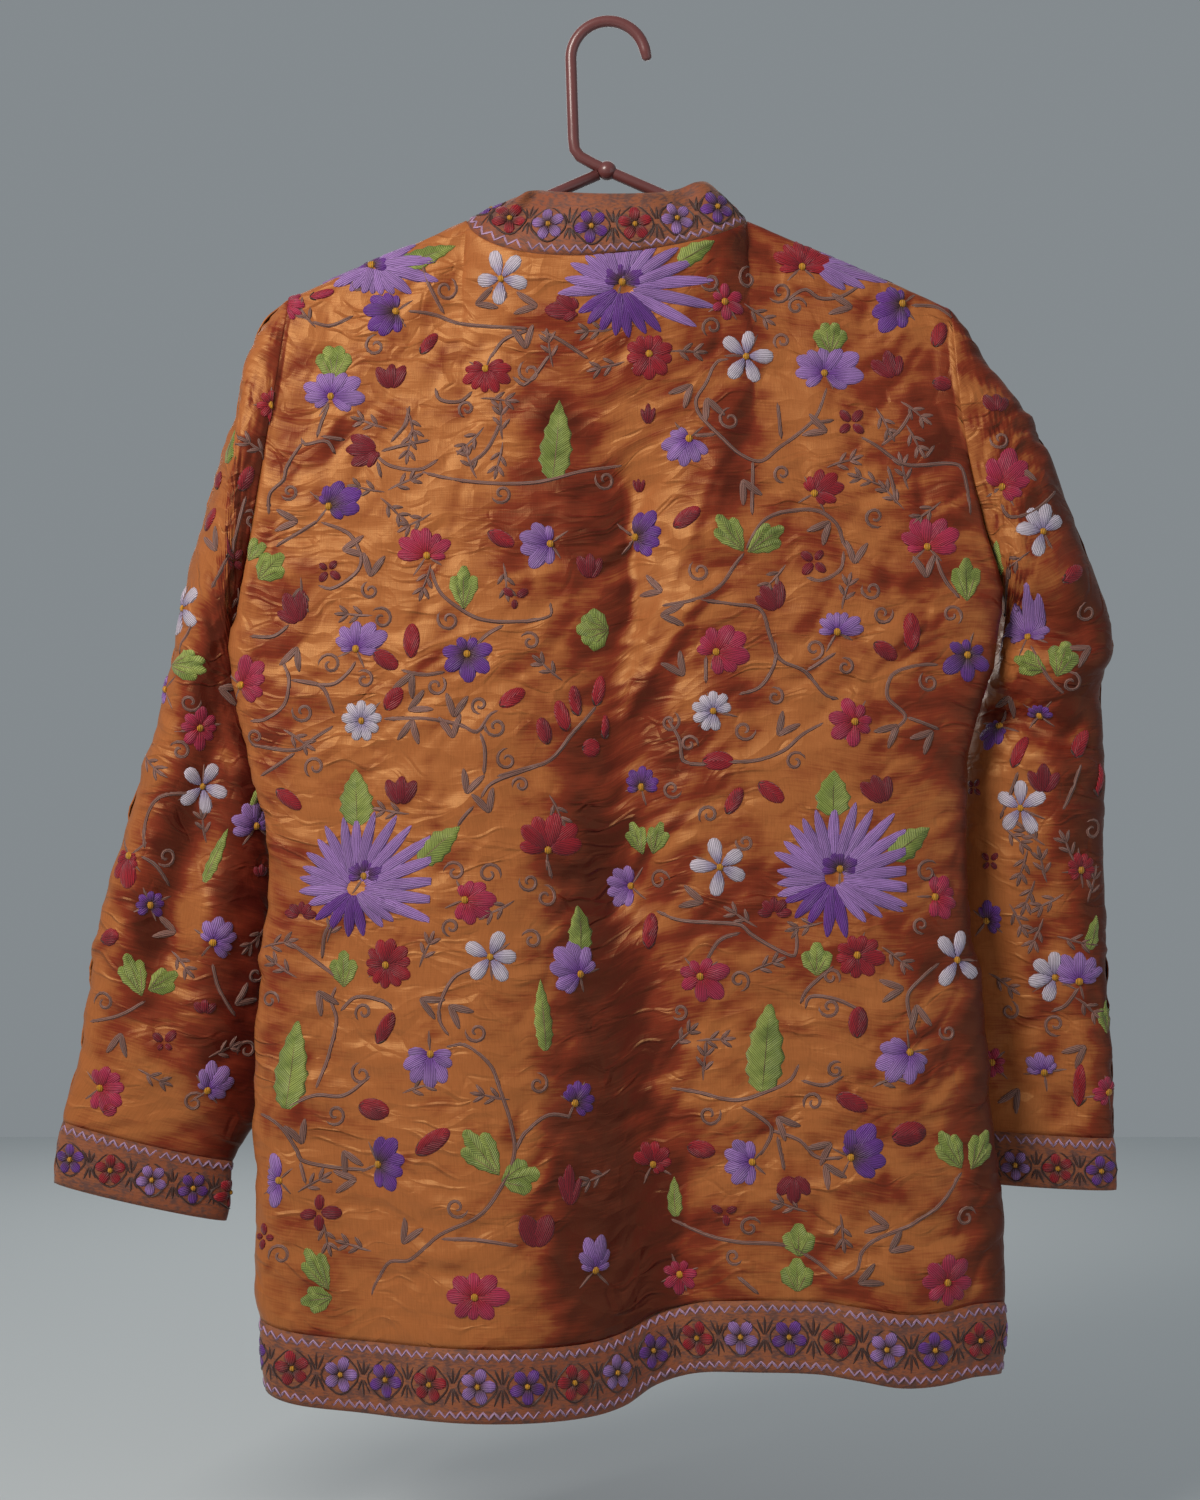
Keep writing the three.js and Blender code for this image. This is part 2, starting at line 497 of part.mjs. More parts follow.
// The hanger: a hook and shaft, two arms with round ends, and the bar between them, moulded in one.
async function hangerMesh() {
  const wasm = await Module();
  wasm.setup();
  const hookCentreZ = TUBE_RADIUS - HOOK_RADIUS;
  const hook = [
    ...arc(HOOK_CENTRE_X, hookCentreZ, HOOK_RADIUS, HOOK_TIP_DEG, 180, HOOK_BENDS),
    ...SHAFT.map(({ x, z }) => inPlane(x, z)),
  ];
  const tilt = THREE.MathUtils.radToDeg(Math.atan(ARM_SLOPE));
  const armEnd = { x: ARM_REACH, z: APEX_Z - ARM_SLOPE * ARM_REACH };
  const bend = {
    x: armEnd.x - END_RADIUS * Math.sin(radians(tilt)),
    z: armEnd.z - END_RADIUS * Math.cos(radians(tilt)),
  };
  const outwards = arc(bend.x, bend.z, END_RADIUS, 90 - tilt, -90, END_BENDS);
  const half = [
    inPlane(ARM_START, APEX_Z - ARM_SLOPE * ARM_START),
    ...steps(ARM_STEPS, 0, 1).slice(1, -1).map((t) => inPlane(armEnd.x * t, mix(APEX_Z, armEnd.z, t))),
    ...outwards,
  ];
  const frame = [...half, ...half.map((p) => inPlane(-p.x, p.z)).reverse()];
  const knuckle = new THREE.SphereGeometry(KNUCKLE_RADIUS, 2 * KNUCKLE_STEPS, KNUCKLE_STEPS);
  knuckle.translate(0, 0, APEX_Z);
  const solid = asSolid(wasm, tubeAlong(hook))
    .add(asSolid(wasm, tubeAlong(frame)))
    .add(asSolid(wasm, knuckle));
  const { vertProperties, triVerts } = solid.getMesh();
  const geometry = new THREE.BufferGeometry();
  geometry.setAttribute("position", new THREE.Float32BufferAttribute(vertProperties, 3));
  geometry.setIndex([...triVerts]);
  geometry.computeVertexNormals();
  const mesh = new THREE.Mesh(geometry, MATERIALS.plastic);
  mesh.name = "hanger";
  return mesh;
}

const jacket = new THREE.Group();
const pieces = jacketPieces();
shareSeamWalls(pieces);
pieces.forEach(drawInEdges);
jacket.add(...pieces.map(wallMesh), await hangerMesh());

export default jacket;
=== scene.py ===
"""A long embroidered silk jacket on its hanger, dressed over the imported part.

Sizes are in millimetres, in the part's own frame: +X the wearer's right, +Y the wearer's front, +Z up, with
the origin at the hook. They become metres when a mesh is made. The cloth follows the same curves as the
solids.
"""

from __future__ import annotations

import logging
import math
from dataclasses import dataclass, field
from enum import Enum
from functools import lru_cache
from typing import Callable, NamedTuple, Sequence

import bmesh
import bpy
import numpy as np
from mathutils import Euler, Matrix, Vector, noise

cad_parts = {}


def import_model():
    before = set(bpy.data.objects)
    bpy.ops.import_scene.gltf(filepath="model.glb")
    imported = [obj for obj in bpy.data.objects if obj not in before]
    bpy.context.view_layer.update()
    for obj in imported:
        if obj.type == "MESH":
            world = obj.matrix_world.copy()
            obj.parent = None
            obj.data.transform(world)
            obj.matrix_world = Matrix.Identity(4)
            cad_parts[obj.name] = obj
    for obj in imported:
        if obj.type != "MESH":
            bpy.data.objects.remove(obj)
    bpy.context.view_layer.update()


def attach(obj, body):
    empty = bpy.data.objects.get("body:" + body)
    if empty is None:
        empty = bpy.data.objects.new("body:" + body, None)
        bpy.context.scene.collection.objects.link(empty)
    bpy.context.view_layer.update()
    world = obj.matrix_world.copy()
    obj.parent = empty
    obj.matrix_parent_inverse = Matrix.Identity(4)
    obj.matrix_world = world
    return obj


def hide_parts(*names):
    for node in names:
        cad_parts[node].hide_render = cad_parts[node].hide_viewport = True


LOG = logging.getLogger("jacket")
MM = 0.001


# The photograph's frame


@dataclass(frozen=True)
class Photograph:
    """Where the photograph's pixels lie in the part's frame."""

    width: int = 1200
    height: int = 1500
    mm_per_px: float = 0.65
    origin_px: tuple[float, float] = (607.0, 27.0)
    distance: float = 1800.0
    sensor: float = 36.0

    def centre(self) -> tuple[float, float]:
        """The camera axis's X and Z in millimetres."""
        return self.place(self.width / 2, self.height / 2)

    def place(self, px: float, py: float) -> tuple[float, float]:
        """A pixel's X and Z on the hanger's plane.

        Args:
            px: the pixel's column.
            py: the pixel's row.

        Returns:
            X and Z in millimetres.
        """
        return (px - self.origin_px[0]) * self.mm_per_px, (self.origin_px[1] - py) * self.mm_per_px


PHOTO = Photograph()


# The cut of the jacket, as in the solids


def mix(a: np.ndarray | float, b: np.ndarray | float, share: np.ndarray | float) -> np.ndarray | float:
    """The value that lies a share of the way from a to b."""
    return a + (b - a) * share


def ease(t: np.ndarray | float) -> np.ndarray | float:
    """A smooth step from 0 to 1."""
    return t * t * (3 - 2 * t)


@dataclass(frozen=True)
class Curve:
    """A smooth curve through a short table of rows, each a place and a value."""

    rows: tuple[tuple[float, float], ...]

    def at(self, place: np.ndarray | float) -> np.ndarray:
        """The curve's value.

        Args:
            place: one place or many.

        Returns:
            The value at each place.
        """
        keys, values = np.array(sorted(self.rows), float).T
        slopes = np.empty_like(values)
        slopes[1:-1] = (values[2:] - values[:-2]) / (keys[2:] - keys[:-2])
        slopes[0] = (values[1] - values[0]) / (keys[1] - keys[0])
        slopes[-1] = (values[-1] - values[-2]) / (keys[-1] - keys[-2])
        place = np.asarray(place, float)
        i = np.clip(np.searchsorted(keys, place) - 1, 0, len(keys) - 2)
        span = keys[i + 1] - keys[i]
        t = np.clip((place - keys[i]) / span, 0, 1)
        return (
            (2 * t**3 - 3 * t**2 + 1) * values[i]
            + (t**3 - 2 * t**2 + t) * span * slopes[i]
            + (3 * t**2 - 2 * t**3) * values[i + 1]
            + (t**3 - t**2) * span * slopes[i + 1]
        )


class Fold(NamedTuple):
    """A straight fold from (x1, z1) to (x2, z2). Its rise is outwards and it is width wide to each side."""

    x1: float
    z1: float
    x2: float
    z2: float
    width: float
    rise1: float
    rise2: float

    def lift(self, x: np.ndarray, z: np.ndarray, sharp: bool = False) -> np.ndarray:
        """How far the fold lifts the cloth.

        Args:
            x: places across.
            z: heights.
            sharp: a creased crest in place of a round one.

        Returns:
            The lift at each place, in millimetres.
        """
        along_x, along_z = self.x2 - self.x1, self.z2 - self.z1
        share = np.clip(
            ((x - self.x1) * along_x + (z - self.z1) * along_z) / (along_x**2 + along_z**2), 0, 1
        )
        away = np.hypot(x - self.x1 - share * along_x, z - self.z1 - share * along_z) / self.width
        profile = np.exp(-away) * (1 + away * 0.3) if sharp else np.exp(-0.5 * away**2)
        return mix(self.rise1, self.rise2, share) * profile


@dataclass(frozen=True)
class Cut:
    """The jacket's driving sizes."""

    apex: float = -93.4
    slope: float = 0.435
    tube: float = 3.75
    wall: float = 2.0
    seat: float = 0.5
    shoulder_left: float = -206.0
    shoulder_right: float = 223.0
    neck_x: float = 0.0
    neck_half: float = 90.5
    neck_share: float = 0.2857
    neck_round: float = 0.7
    underarm_left: tuple[float, float] = (-240.0, -386.0)
    underarm_right: tuple[float, float] = (257.0, -366.0)
    armhole_depth: float = 20.0
    armhole_curve: tuple[float, float] = (1.2, 2.0)
    hem_band: float = 46.0
    ridge: float = 6.6
    ridge_fall: float = 90.0
    neck_fall: float = 180.0
    fold_fall: float = 60.0
    edge_shoulder: float = 7.0
    edge_side: float = 3.4
    collar_bulge: float = 1.5
    front_gap: float = 3.0

    def shoulder(self, x: np.ndarray | float) -> np.ndarray | float:
        """The shoulder seam's height at x."""
        top = self.tube * math.hypot(1, self.slope) + self.seat + self.wall
        return self.apex + top - self.slope * np.abs(x)


CUT = Cut()
SIDE_LEFT = Curve(
    (
        (-386, -240), (-413, -243), (-437, -239), (-485, -229), (-512, -221), (-550, -218),
        (-611, -223), (-665, -226), (-804, -225.5), (-850, -222), (-890, -219.5),
    )
)
SIDE_RIGHT = Curve(
    (
        (-366, 257), (-387, 254), (-414, 250), (-440, 242), (-475, 233), (-522, 231),
        (-573, 232), (-607, 238), (-641, 242), (-700, 247), (-764, 253), (-830, 256),
        (-880, 253),
    )
)
SIDE_SEAM_Y = Curve(((-366, 0), (-560, -8), (-890, -8)))


@dataclass(frozen=True)
class BodyFace:
    """The back or the front of the body: its distance from the hanger, its neckline, hem and folds."""

    outwards: int
    neck_depth: float
    neck_drop: float
    neck_curve: float
    neck_skew: float
    depth: Curve
    hem: Curve
    folds: tuple[Fold, ...]

    def top_edge(self, u: np.ndarray) -> np.ndarray:
        """The shoulder seam outside the neck, and the neckline inside it.

        Args:
            u: from -1 at the left shoulder's end to 1 at the right one.

        Returns:
            Points in millimetres, in the last axis.
        """
        across = np.abs(u)
        end = np.where(u < 0, CUT.shoulder_left, CUT.shoulder_right)
        side = CUT.neck_x + np.sign(u) * CUT.neck_half
        start = math.sin(math.pi / 2 * CUT.neck_share)
        x_out = mix(side, end, (np.sin(np.pi / 2 * across) - start) / (1 - start))
        angle = np.clip(u / CUT.neck_share, -1, 1) * np.pi / 2
        cosine = np.clip(np.cos(angle), 0, 1)
        corners = CUT.shoulder(CUT.neck_x - CUT.neck_half), CUT.shoulder(CUT.neck_x + CUT.neck_half)
        level = mix(*corners, (1 + np.sin(angle)) / 2)
        drop = self.neck_drop * cosine**self.neck_curve + self.neck_skew * np.sin(2 * angle)
        outside = across >= CUT.neck_share
        x = np.where(outside, x_out, CUT.neck_x + CUT.neck_half * np.sin(angle))
        y = np.where(outside, 0.0, self.outwards * self.neck_depth * cosine**CUT.neck_round)
        z = np.where(outside, CUT.shoulder(x_out), level - drop)
        return np.stack([x, y, z], -1)

    def point(self, u: np.ndarray, v: np.ndarray) -> np.ndarray:
        """Points of the body.

        Args:
            u: from the left side seam, -1, to the right one, 1.
            v: from the top edge, 0, past the underarm, 1, and the top of the border, 2, to the hem, 3.

        Returns:
            Points in millimetres, in the last axis.
        """
        top = self.top_edge(u)
        share = (np.sin(np.pi / 2 * u) + 1) / 2
        (left_x, left_z), (right_x, right_z) = CUT.underarm_left, CUT.underarm_right

        def height(
            side: np.ndarray | float, above: np.ndarray | float, chest: np.ndarray | float
        ) -> np.ndarray:
            """The height at v on the line that starts at above and passes chest."""
            hem = self.hem.at(side)
            band = hem + CUT.hem_band
            lower = np.where(v <= 2, mix(chest, band, v - 1), mix(band, hem, v - 2))
            return np.where(v <= 1, mix(above, chest, v), lower)

        def edge(
            side: int, end: float, under_x: float, under_z: float, curve: float, table: Curve
        ) -> np.ndarray:
            """The side edge's X at v."""
            arm = mix(end, under_x, np.clip(v, 0, 1) ** curve)
            return np.where(v < 1, arm, table.at(height(side, 0.0, under_z)))

        z = height(u, top[..., 2], mix(left_z, right_z, share))
        left = edge(-1, CUT.shoulder_left, left_x, left_z, CUT.armhole_curve[0], SIDE_LEFT)
        right = edge(1, CUT.shoulder_right, right_x, right_z, CUT.armhole_curve[1], SIDE_RIGHT)
        fade = ease(np.clip(v, 0, 1))
        gather = top[..., 0] - mix(CUT.shoulder_left, CUT.shoulder_right, share)
        x = mix(left, right, share) + gather * (1 - fade)
        armhole = self.outwards * CUT.armhole_depth * 2 * np.sqrt(np.clip(v * (1 - v), 0, None))
        edge_y = np.where(v < 1, armhole, SIDE_SEAM_Y.at(z))
        below = top[..., 2] - z
        ridge = CUT.ridge * np.sqrt(1 - (1 - np.clip(below / CUT.ridge, 0, 1)) ** 2)
        away = (self.depth.at(z) - CUT.ridge) * (1 - np.exp(-below / CUT.ridge_fall))
        neck = np.abs(top[..., 1]) * np.exp(-below / CUT.neck_fall)
        power = mix(CUT.edge_shoulder, CUT.edge_side, fade)
        full = np.sqrt(np.clip(1 - np.abs(u) ** power, 0, 1))
        rise = sum(fold.lift(x, z) for fold in self.folds) * full * (1 - np.exp(-below / CUT.fold_fall))
        y = mix(edge_y, self.outwards * np.hypot(ridge + away, neck), full) + self.outwards * rise
        return np.stack([x, y, z], -1)


BACK = BodyFace(
    outwards=-1,
    neck_depth=33,
    neck_drop=27.3,
    neck_curve=1.1,
    neck_skew=-3.5,
    depth=Curve(((-180, 16), (-250, 24), (-330, 30), (-430, 36), (-560, 42), (-700, 46), (-890, 50))),
    hem=Curve(
        (
            (-1, -876), (-0.9, -880), (-0.69, -886.5), (-0.49, -890), (-0.25, -890.5),
            (-0.09, -890.5), (-0.015, -886.5), (0.04, -876.5), (0.15, -867), (0.32, -864.5),
            (0.41, -867.5), (0.5, -871.5), (0.6, -871), (0.73, -867), (1, -869),
        )
    ),
    folds=(
        Fold(-95, -330, -72, -940, 44, 3, 26),
        Fold(-45, -195, 12, -300, 13, -3, -9),
        Fold(14, -300, 6, -560, 17, -9, -13),
        Fold(6, -560, 54, -940, 26, -13, -34),
        Fold(155, -420, 188, -940, 46, 3, 13),
        Fold(-170, -520, -158, -940, 22, -2, -7),
        Fold(112, -560, 122, -940, 22, -2, -7),
        Fold(70, -190, 62, -420, 22, 4, 3),
    ),
)
FRONT = BodyFace(
    outwards=1,
    neck_depth=24,
    neck_drop=60,
    neck_curve=1.7,
    neck_skew=0,
    depth=Curve(((-180, 11), (-250, 15), (-330, 18), (-430, 21), (-560, 23), (-700, 25), (-890, 27))),
    hem=Curve(((-1, -876), (-0.5, -884), (0, -880), (0.5, -868), (1, -869))),
    folds=(
        Fold(-110, -300, -120, -940, 30, 2, 10),
        Fold(-60, -420, -58, -940, 20, -1, -7),
        Fold(118, -300, 132, -940, 30, 2, 9),
        Fold(68, -460, 72, -940, 20, -1, -6),
    ),
)


class Ring(NamedTuple):
    """A section of a sleeve, from its outer edge to its inner edge, and half its depth."""

    ox: float
    oy: float
    oz: float
    ix: float
    iy: float
    iz: float
    depth: float


@dataclass(frozen=True)
class Sleeve:
    """A sleeve's rings, from the armhole to the cuff's lower edge, and its folds."""

    outwards: int
    curve: float
    rings: tuple[Ring, ...]
    folds: tuple[Fold, ...]

    def point(self, angle: np.ndarray, row: np.ndarray) -> np.ndarray:
        """Points of the sleeve.

        Args:
            angle: degrees round it, 0 at the outer edge, 90 at the back, 180 at the underarm seam.
            row: the ring's number, or a place between two.

        Returns:
            Points in millimetres, in the last axis.
        """

        def along(column: str) -> np.ndarray:
            """One column of the rings at each row."""
            return Curve(tuple((i, getattr(ring, column)) for i, ring in enumerate(self.rings))).at(row)

        back = np.sin(np.radians(angle))
        share = (1 - np.cos(np.radians(angle))) / 2
        swing = (share**self.curve - share) * (1 - np.clip(row, 0, 1))
        x = mix(along("ox"), along("ix"), share + swing)
        z = mix(along("oz"), along("iz"), share)
        rise = sum(fold.lift(x, z) for fold in self.folds) * np.clip(back, 0, 1) * ease(np.clip(row, 0, 1))
        y = mix(along("oy"), along("iy"), share) - back * along("depth") - rise
        return np.stack([x, y, z], -1)


SLEEVE_LEFT = Sleeve(
    outwards=-1,
    curve=CUT.armhole_curve[0],
    rings=(
        Ring(-206, 0, float(CUT.shoulder(-206)), -240, 0, -386, CUT.armhole_depth),
        Ring(-228, 1, -202, -246, 5, -402, 25),
        Ring(-240, 3, -248, -246, 11, -421, 28),
        Ring(-254, 5, -295, -240, 18, -444, 29),
        Ring(-272, 7, -360, -228, 23, -484, 28),
        Ring(-291, 8, -448, -219, 26, -528, 26),
        Ring(-317, 8, -534, -217, 28, -590, 24),
        Ring(-334, 8, -604, -221, 29, -650, 22),
        Ring(-342, 8, -666, -227, 28, -702, 20),
        Ring(-355, 8, -712, -246, 22, -740, 17),
        Ring(-361, 8, -752, -250, 20, -779, 15),
    ),
    folds=(
        Fold(-236, -395, -287, -600, 13, -8, -13),
        Fold(-255, -567, -262, -700, 17, 6, 4),
        Fold(-250, -320, -318, -620, 14, 3, 5),
        Fold(-300, -665, -255, -690, 10, 5, 3),
    ),
)
SLEEVE_RIGHT = Sleeve(
    outwards=1,
    curve=CUT.armhole_curve[1],
    rings=(
        Ring(223, 0, float(CUT.shoulder(223)), 257, 0, -366, CUT.armhole_depth),
        Ring(243, 1, -215, 261, 6, -384, 26),
        Ring(270, 3, -250, 259, 14, -402, 32),
        Ring(295, 6, -302, 252, 22, -425, 35),
        Ring(328, 8, -393, 241, 29, -456, 35),
        Ring(321, 9, -426, 233, 32, -488, 33),
        Ring(323, 10, -492, 226, 34, -542, 31),
        Ring(323, 10, -562, 228, 35, -598, 29),
        Ring(326, 10, -634, 232, 38, -656, 26),
        Ring(331, 10, -723, 224, 46, -719, 19),
        Ring(333, 10, -757, 226, 46, -755, 17),
    ),
    folds=(
        Fold(250, -345, 300, -358, 11, 6, 8),
        Fold(256, -384, 305, -396, 10, -17, -8),
        Fold(262, -412, 318, -408, 10, 4, 8),
        Fold(247, -440, 295, -462, 9, -14, -9),
        Fold(288, -480, 290, -560, 14, 6, 3),
        Fold(283, -560, 300, -700, 10, -5, -8),
        Fold(252, -590, 268, -690, 10, -6, -6),
    ),
)


class CollarRow(NamedTuple):
    """A point of the collar's upper edge, by the angle round the neck: 0 is the centre back."""

    angle: float
    x: float
    y: float
    z: float


COLLAR_TOP = (
    CollarRow(-180, 0, 12, -150), CollarRow(-150, -36, 12, -141), CollarRow(-120, -56, 12, -123),
    CollarRow(-105, -56, 8, -116), CollarRow(-90, -56, 1, -110), CollarRow(-75, -57, -9, -112.5),
    CollarRow(-60, -52, -15, -110), CollarRow(-45, -43, -7, -107.5), CollarRow(-30, -34, -18, -110.5),
    CollarRow(-15, -20, -27, -113), CollarRow(0, 0, -29, -114), CollarRow(22, 30, -27, -113),
    CollarRow(40, 46, -16, -108.5), CollarRow(55, 57, -18, -104.5), CollarRow(72, 66, -12, -104),
    CollarRow(90, 71, 4, -110), CollarRow(108, 68, 10, -118), CollarRow(130, 55, 12, -131),
    CollarRow(155, 30, 12, -144), CollarRow(180, 5, 12, -150),
)


def collar_point(angle: np.ndarray, height: np.ndarray) -> np.ndarray:
    """Points of the collar.

    Args:
        angle: degrees round the neck, 0 at the centre back.
        height: from the seam, 0, to the upper edge, 1.

    Returns:
        Points in millimetres, in the last axis.
    """
    side = np.abs(angle)
    back = BACK.top_edge(CUT.neck_share * np.clip(angle, -90, 90) / 90)
    front = FRONT.top_edge(np.sign(angle) * CUT.neck_share * np.clip(180 - side, 0, 90) / 90)
    seam = np.where((side <= 90)[..., None], back, front)
    top = np.stack(
        [Curve(tuple((row.angle, getattr(row, axis)) for row in COLLAR_TOP)).at(angle) for axis in "xyz"], -1
    )
    point = mix(seam, top, height[..., None])
    point[..., 1] -= np.cos(np.radians(angle)) * CUT.collar_bulge * np.sin(np.pi * height)
    return point


# Creases and crumple


class ShadingPatch(NamedTuple):
    """A round patch that paints shade onto the silk, towards rust and deep shade, where its amount is
    positive, and paints light, towards gold, where it is negative.
    """

    x: float
    z: float
    wide: float
    high: float
    amount: float


@dataclass(frozen=True)
class Crumple:
    """How the silk is creased: fine random creases, mostly sideways, and the main ones listed."""

    seed: int
    coarse: float = 3.6
    fine: float = 2.0
    creases: tuple[Fold, ...] = ()
    # The patches paint shade and light into the silk's colour, and the field after them is the base share
    # towards rust.
    shading_patches: tuple[ShadingPatch, ...] = ()
    rust_and_shade: float = 0.34

    def height(self, p: np.ndarray, q: np.ndarray, place: np.ndarray) -> np.ndarray:
        """How far the cloth stands off its smooth form.

        Args:
            p: millimetres across the cut.
            q: millimetres down the cut.
            place: the smooth form's points.

        Returns:
            Millimetres outwards.
        """
        shift = Vector((self.seed * 7.3, self.seed * 3.1, self.seed * 1.7))
        flat = np.stack([p, q], -1).reshape(-1, 2)
        values = np.array([self._random(Vector((a, b, 0)), shift) for a, b in flat]).reshape(p.shape)
        for crease in self.creases:
            values = values + crease.lift(place[..., 0], place[..., 2], sharp=True)
        return values

    def _random(self, spot: Vector, shift: Vector) -> float:
        """The random creases' height at one spot of the cut.

        Args:
            spot: the spot, in millimetres.
            shift: what sets these creases apart from the other panels'.

        Returns:
            Millimetres outwards.
        """
        bend = noise.noise(spot / 70 + shift) * 24
        sway = noise.noise(spot / 46 - shift) * 12
        x, y = spot.x + bend * 0.7, spot.y + bend + sway - spot.x * 0.04
        uneven = 0.55 + 1.1 * abs(noise.noise(spot / 80 - shift))
        ridges = noise.voronoi(Vector((x / 50, y / 24, 0)) + shift)[0]
        valleys = noise.voronoi(Vector(((x + y * 0.2) / 40, (y + x * 0.22) / 26, 3)) - shift)[0]
        small = noise.voronoi(Vector((x / 22, y / 12, 9)) + shift)[0]
        lines = math.exp((valleys[0] - valleys[1]) / 0.12)
        broad = ridges[0] - 0.8 * valleys[0] - 0.22 * lines
        return uneven * (self.coarse * broad + self.fine * (small[0] - 0.5))


# Cloth panels


@dataclass
class Panel:
    """A cut piece of cloth as a fine grid that follows its solid, with its flat cut alongside."""

    name: str
    node: str
    slot: str
    point: Callable[[np.ndarray, np.ndarray], np.ndarray]
    across: np.ndarray
    down: np.ndarray
    outwards: int
    crumple: Crumple
    closed: bool = False
    seams: str = "tblr"
    thick: float = 0.9
    form: np.ndarray = field(init=False)
    flat: np.ndarray = field(init=False)
    cloth: np.ndarray = field(init=False)
    normal: np.ndarray = field(init=False)
    grain: np.ndarray = field(init=False)
    smooth: np.ndarray = field(init=False)
    obj: bpy.types.Object = field(init=False)

    SEAM_RISE: float = 1.3
    SEAM_WIDTH: float = 7.0
    RELAX: int = 14

    def __post_init__(self) -> None:
        """Works out the smooth form, the flat cut and the creased cloth."""
        self.form = self.point(*np.meshgrid(self.across, self.down))
        if not self.closed and len(self.across) > 40:
            self._relax()
        self.flat = self._cut(self.form)
        self.grain = np.stack([self.flat[..., 0], self.flat[..., 1] - self.flat[-1:, :, 1]], -1)
        smooth = self._normals(self.form)
        rise = self.crumple.height(self.grain[..., 0], self.grain[..., 1], self.form)
        self.cloth = self.form + smooth * ((rise + self.SEAM_RISE) * self._free())[..., None]
        self.normal = self._normals(self.cloth)
        self.smooth = smooth

    def _relax(self) -> None:
        """Eases the sideways bends that start at the neckline's corners."""
        depth = self.form[..., 1].copy()
        for _ in range(self.RELAX):
            depth[:, 1:-1] = (depth[:, :-2] + 2 * depth[:, 1:-1] + depth[:, 2:]) / 4
        below = np.linalg.norm(self.form - self.form[:1], axis=2)
        share = 1 - np.exp(-below / 12)
        share = share * np.clip((0.72 - np.abs(self.across)) / 0.15, 0, 1)
        self.form[..., 1] = mix(self.form[..., 1], depth, share)

    @staticmethod
    def _cut(points: np.ndarray) -> np.ndarray:
        """Lays the form flat.

        Args:
            points: the form's rows of points.

        Returns:
            Millimetres across from the middle column, and down from the first row.
        """
        step = np.linalg.norm(np.diff(points, axis=1), axis=2)
        p = np.concatenate([np.zeros((len(points), 1)), np.cumsum(step, 1)], 1)
        p -= p[:, p.shape[1] // 2][:, None]
        fall = np.linalg.norm(np.diff(points, axis=0), axis=2)
        q = np.concatenate([np.zeros((1, points.shape[1])), np.cumsum(fall, 0)], 0)
        return np.stack([p, q], -1)

    def _normals(self, points: np.ndarray) -> np.ndarray:
        """The outward directions of a grid of points.

        Args:
            points: rows of points.

        Returns:
            A unit direction for each point.
        """
        if self.closed:
            wrapped = np.concatenate([points[:, -2:-1], points, points[:, 1:2]], 1)
            sideways = (wrapped[:, 2:] - wrapped[:, :-2]) / 2
        else:
            sideways = np.gradient(points, axis=1)
        normals = np.cross(np.gradient(points, axis=0), sideways) * -self.outwards
        return normals / np.maximum(np.linalg.norm(normals, axis=2, keepdims=True), 1e-9)

    def _free(self) -> np.ndarray:
        """How freely the cloth may leave its form: 0 at its seams and 1 away from them.

        Returns:
            The share at each point of the form.
        """
        p, q = self.flat[..., 0], self.flat[..., 1]
        away = {"t": q, "b": q[-1:] - q, "l": p - p[:, :1], "r": p[:, -1:] - p}
        free = np.ones(p.shape)
        for side in self.seams:
            free *= 1 - np.exp(-away[side] / self.SEAM_WIDTH)
        return free

    def rust_and_shade(self) -> np.ndarray:
        """How far each point goes from gold towards rust: the silk's own rust tone plus painted shade and
        light from the way it faces, and the patches.

        Returns:
            From 0, all gold, to 1, darkest rust and painted shade.
        """
        # Painted shade and light: facets turned right or down, away from the light at the upper left, are
        # pushed towards rust, and facets turned left or up towards gold.
        turn = self.smooth[..., 0] * 0.62 + (self.normal[..., 0] - self.smooth[..., 0]) * 0.85
        turn -= (self.normal[..., 2] - self.smooth[..., 2]) * 0.35
        value = self.crumple.rust_and_shade + turn * (-self.outwards if self.outwards > 0 and not self.closed else 1)
        x, z = self.form[..., 0], self.form[..., 2]
        # The patches add painted shade where their amount is positive and painted light where it is negative.
        for patch in self.crumple.shading_patches:
            away = ((x - patch.x) / patch.wide) ** 2 + ((z - patch.z) / patch.high) ** 2
            value = value + patch.amount * np.exp(-away / 2)
        return np.clip(value, 0, 1)

    def build(self, material: bpy.types.Material) -> bpy.types.Object:
        """Makes the cloth's mesh from a grid and gives it its thickness.

        Args:
            material: the cloth's finish.

        Returns:
            The new object.
        """
        rows, columns = self.cloth.shape[:2]
        bm = bmesh.new()
        bmesh.ops.create_grid(bm, x_segments=columns - 1, y_segments=rows - 1, size=0.5)
        bm.verts.ensure_lookup_table()
        for vert in bm.verts:
            i = round((vert.co.x + 0.5) * (columns - 1))
            j = round((0.5 - vert.co.y) * (rows - 1))
            vert.co = Vector((i, j, 0))
        mesh = bpy.data.meshes.new(self.name)
        bm.to_mesh(mesh)
        bm.free()
        spots = np.empty(len(mesh.vertices) * 3)
        mesh.vertices.foreach_get("co", spots)
        i, j = np.rint(spots.reshape(-1, 3)[:, :2]).astype(int).T
        mesh.vertices.foreach_set("co", (self.cloth[j, i] * MM).ravel())
        corner = np.empty(len(mesh.loops), int)
        mesh.loops.foreach_get("vertex_index", corner)
        layer = mesh.uv_layers.new(name="cloth")
        layer.data.foreach_set("uv", (self.grain[j, i][corner] * MM).astype(np.float32).ravel())
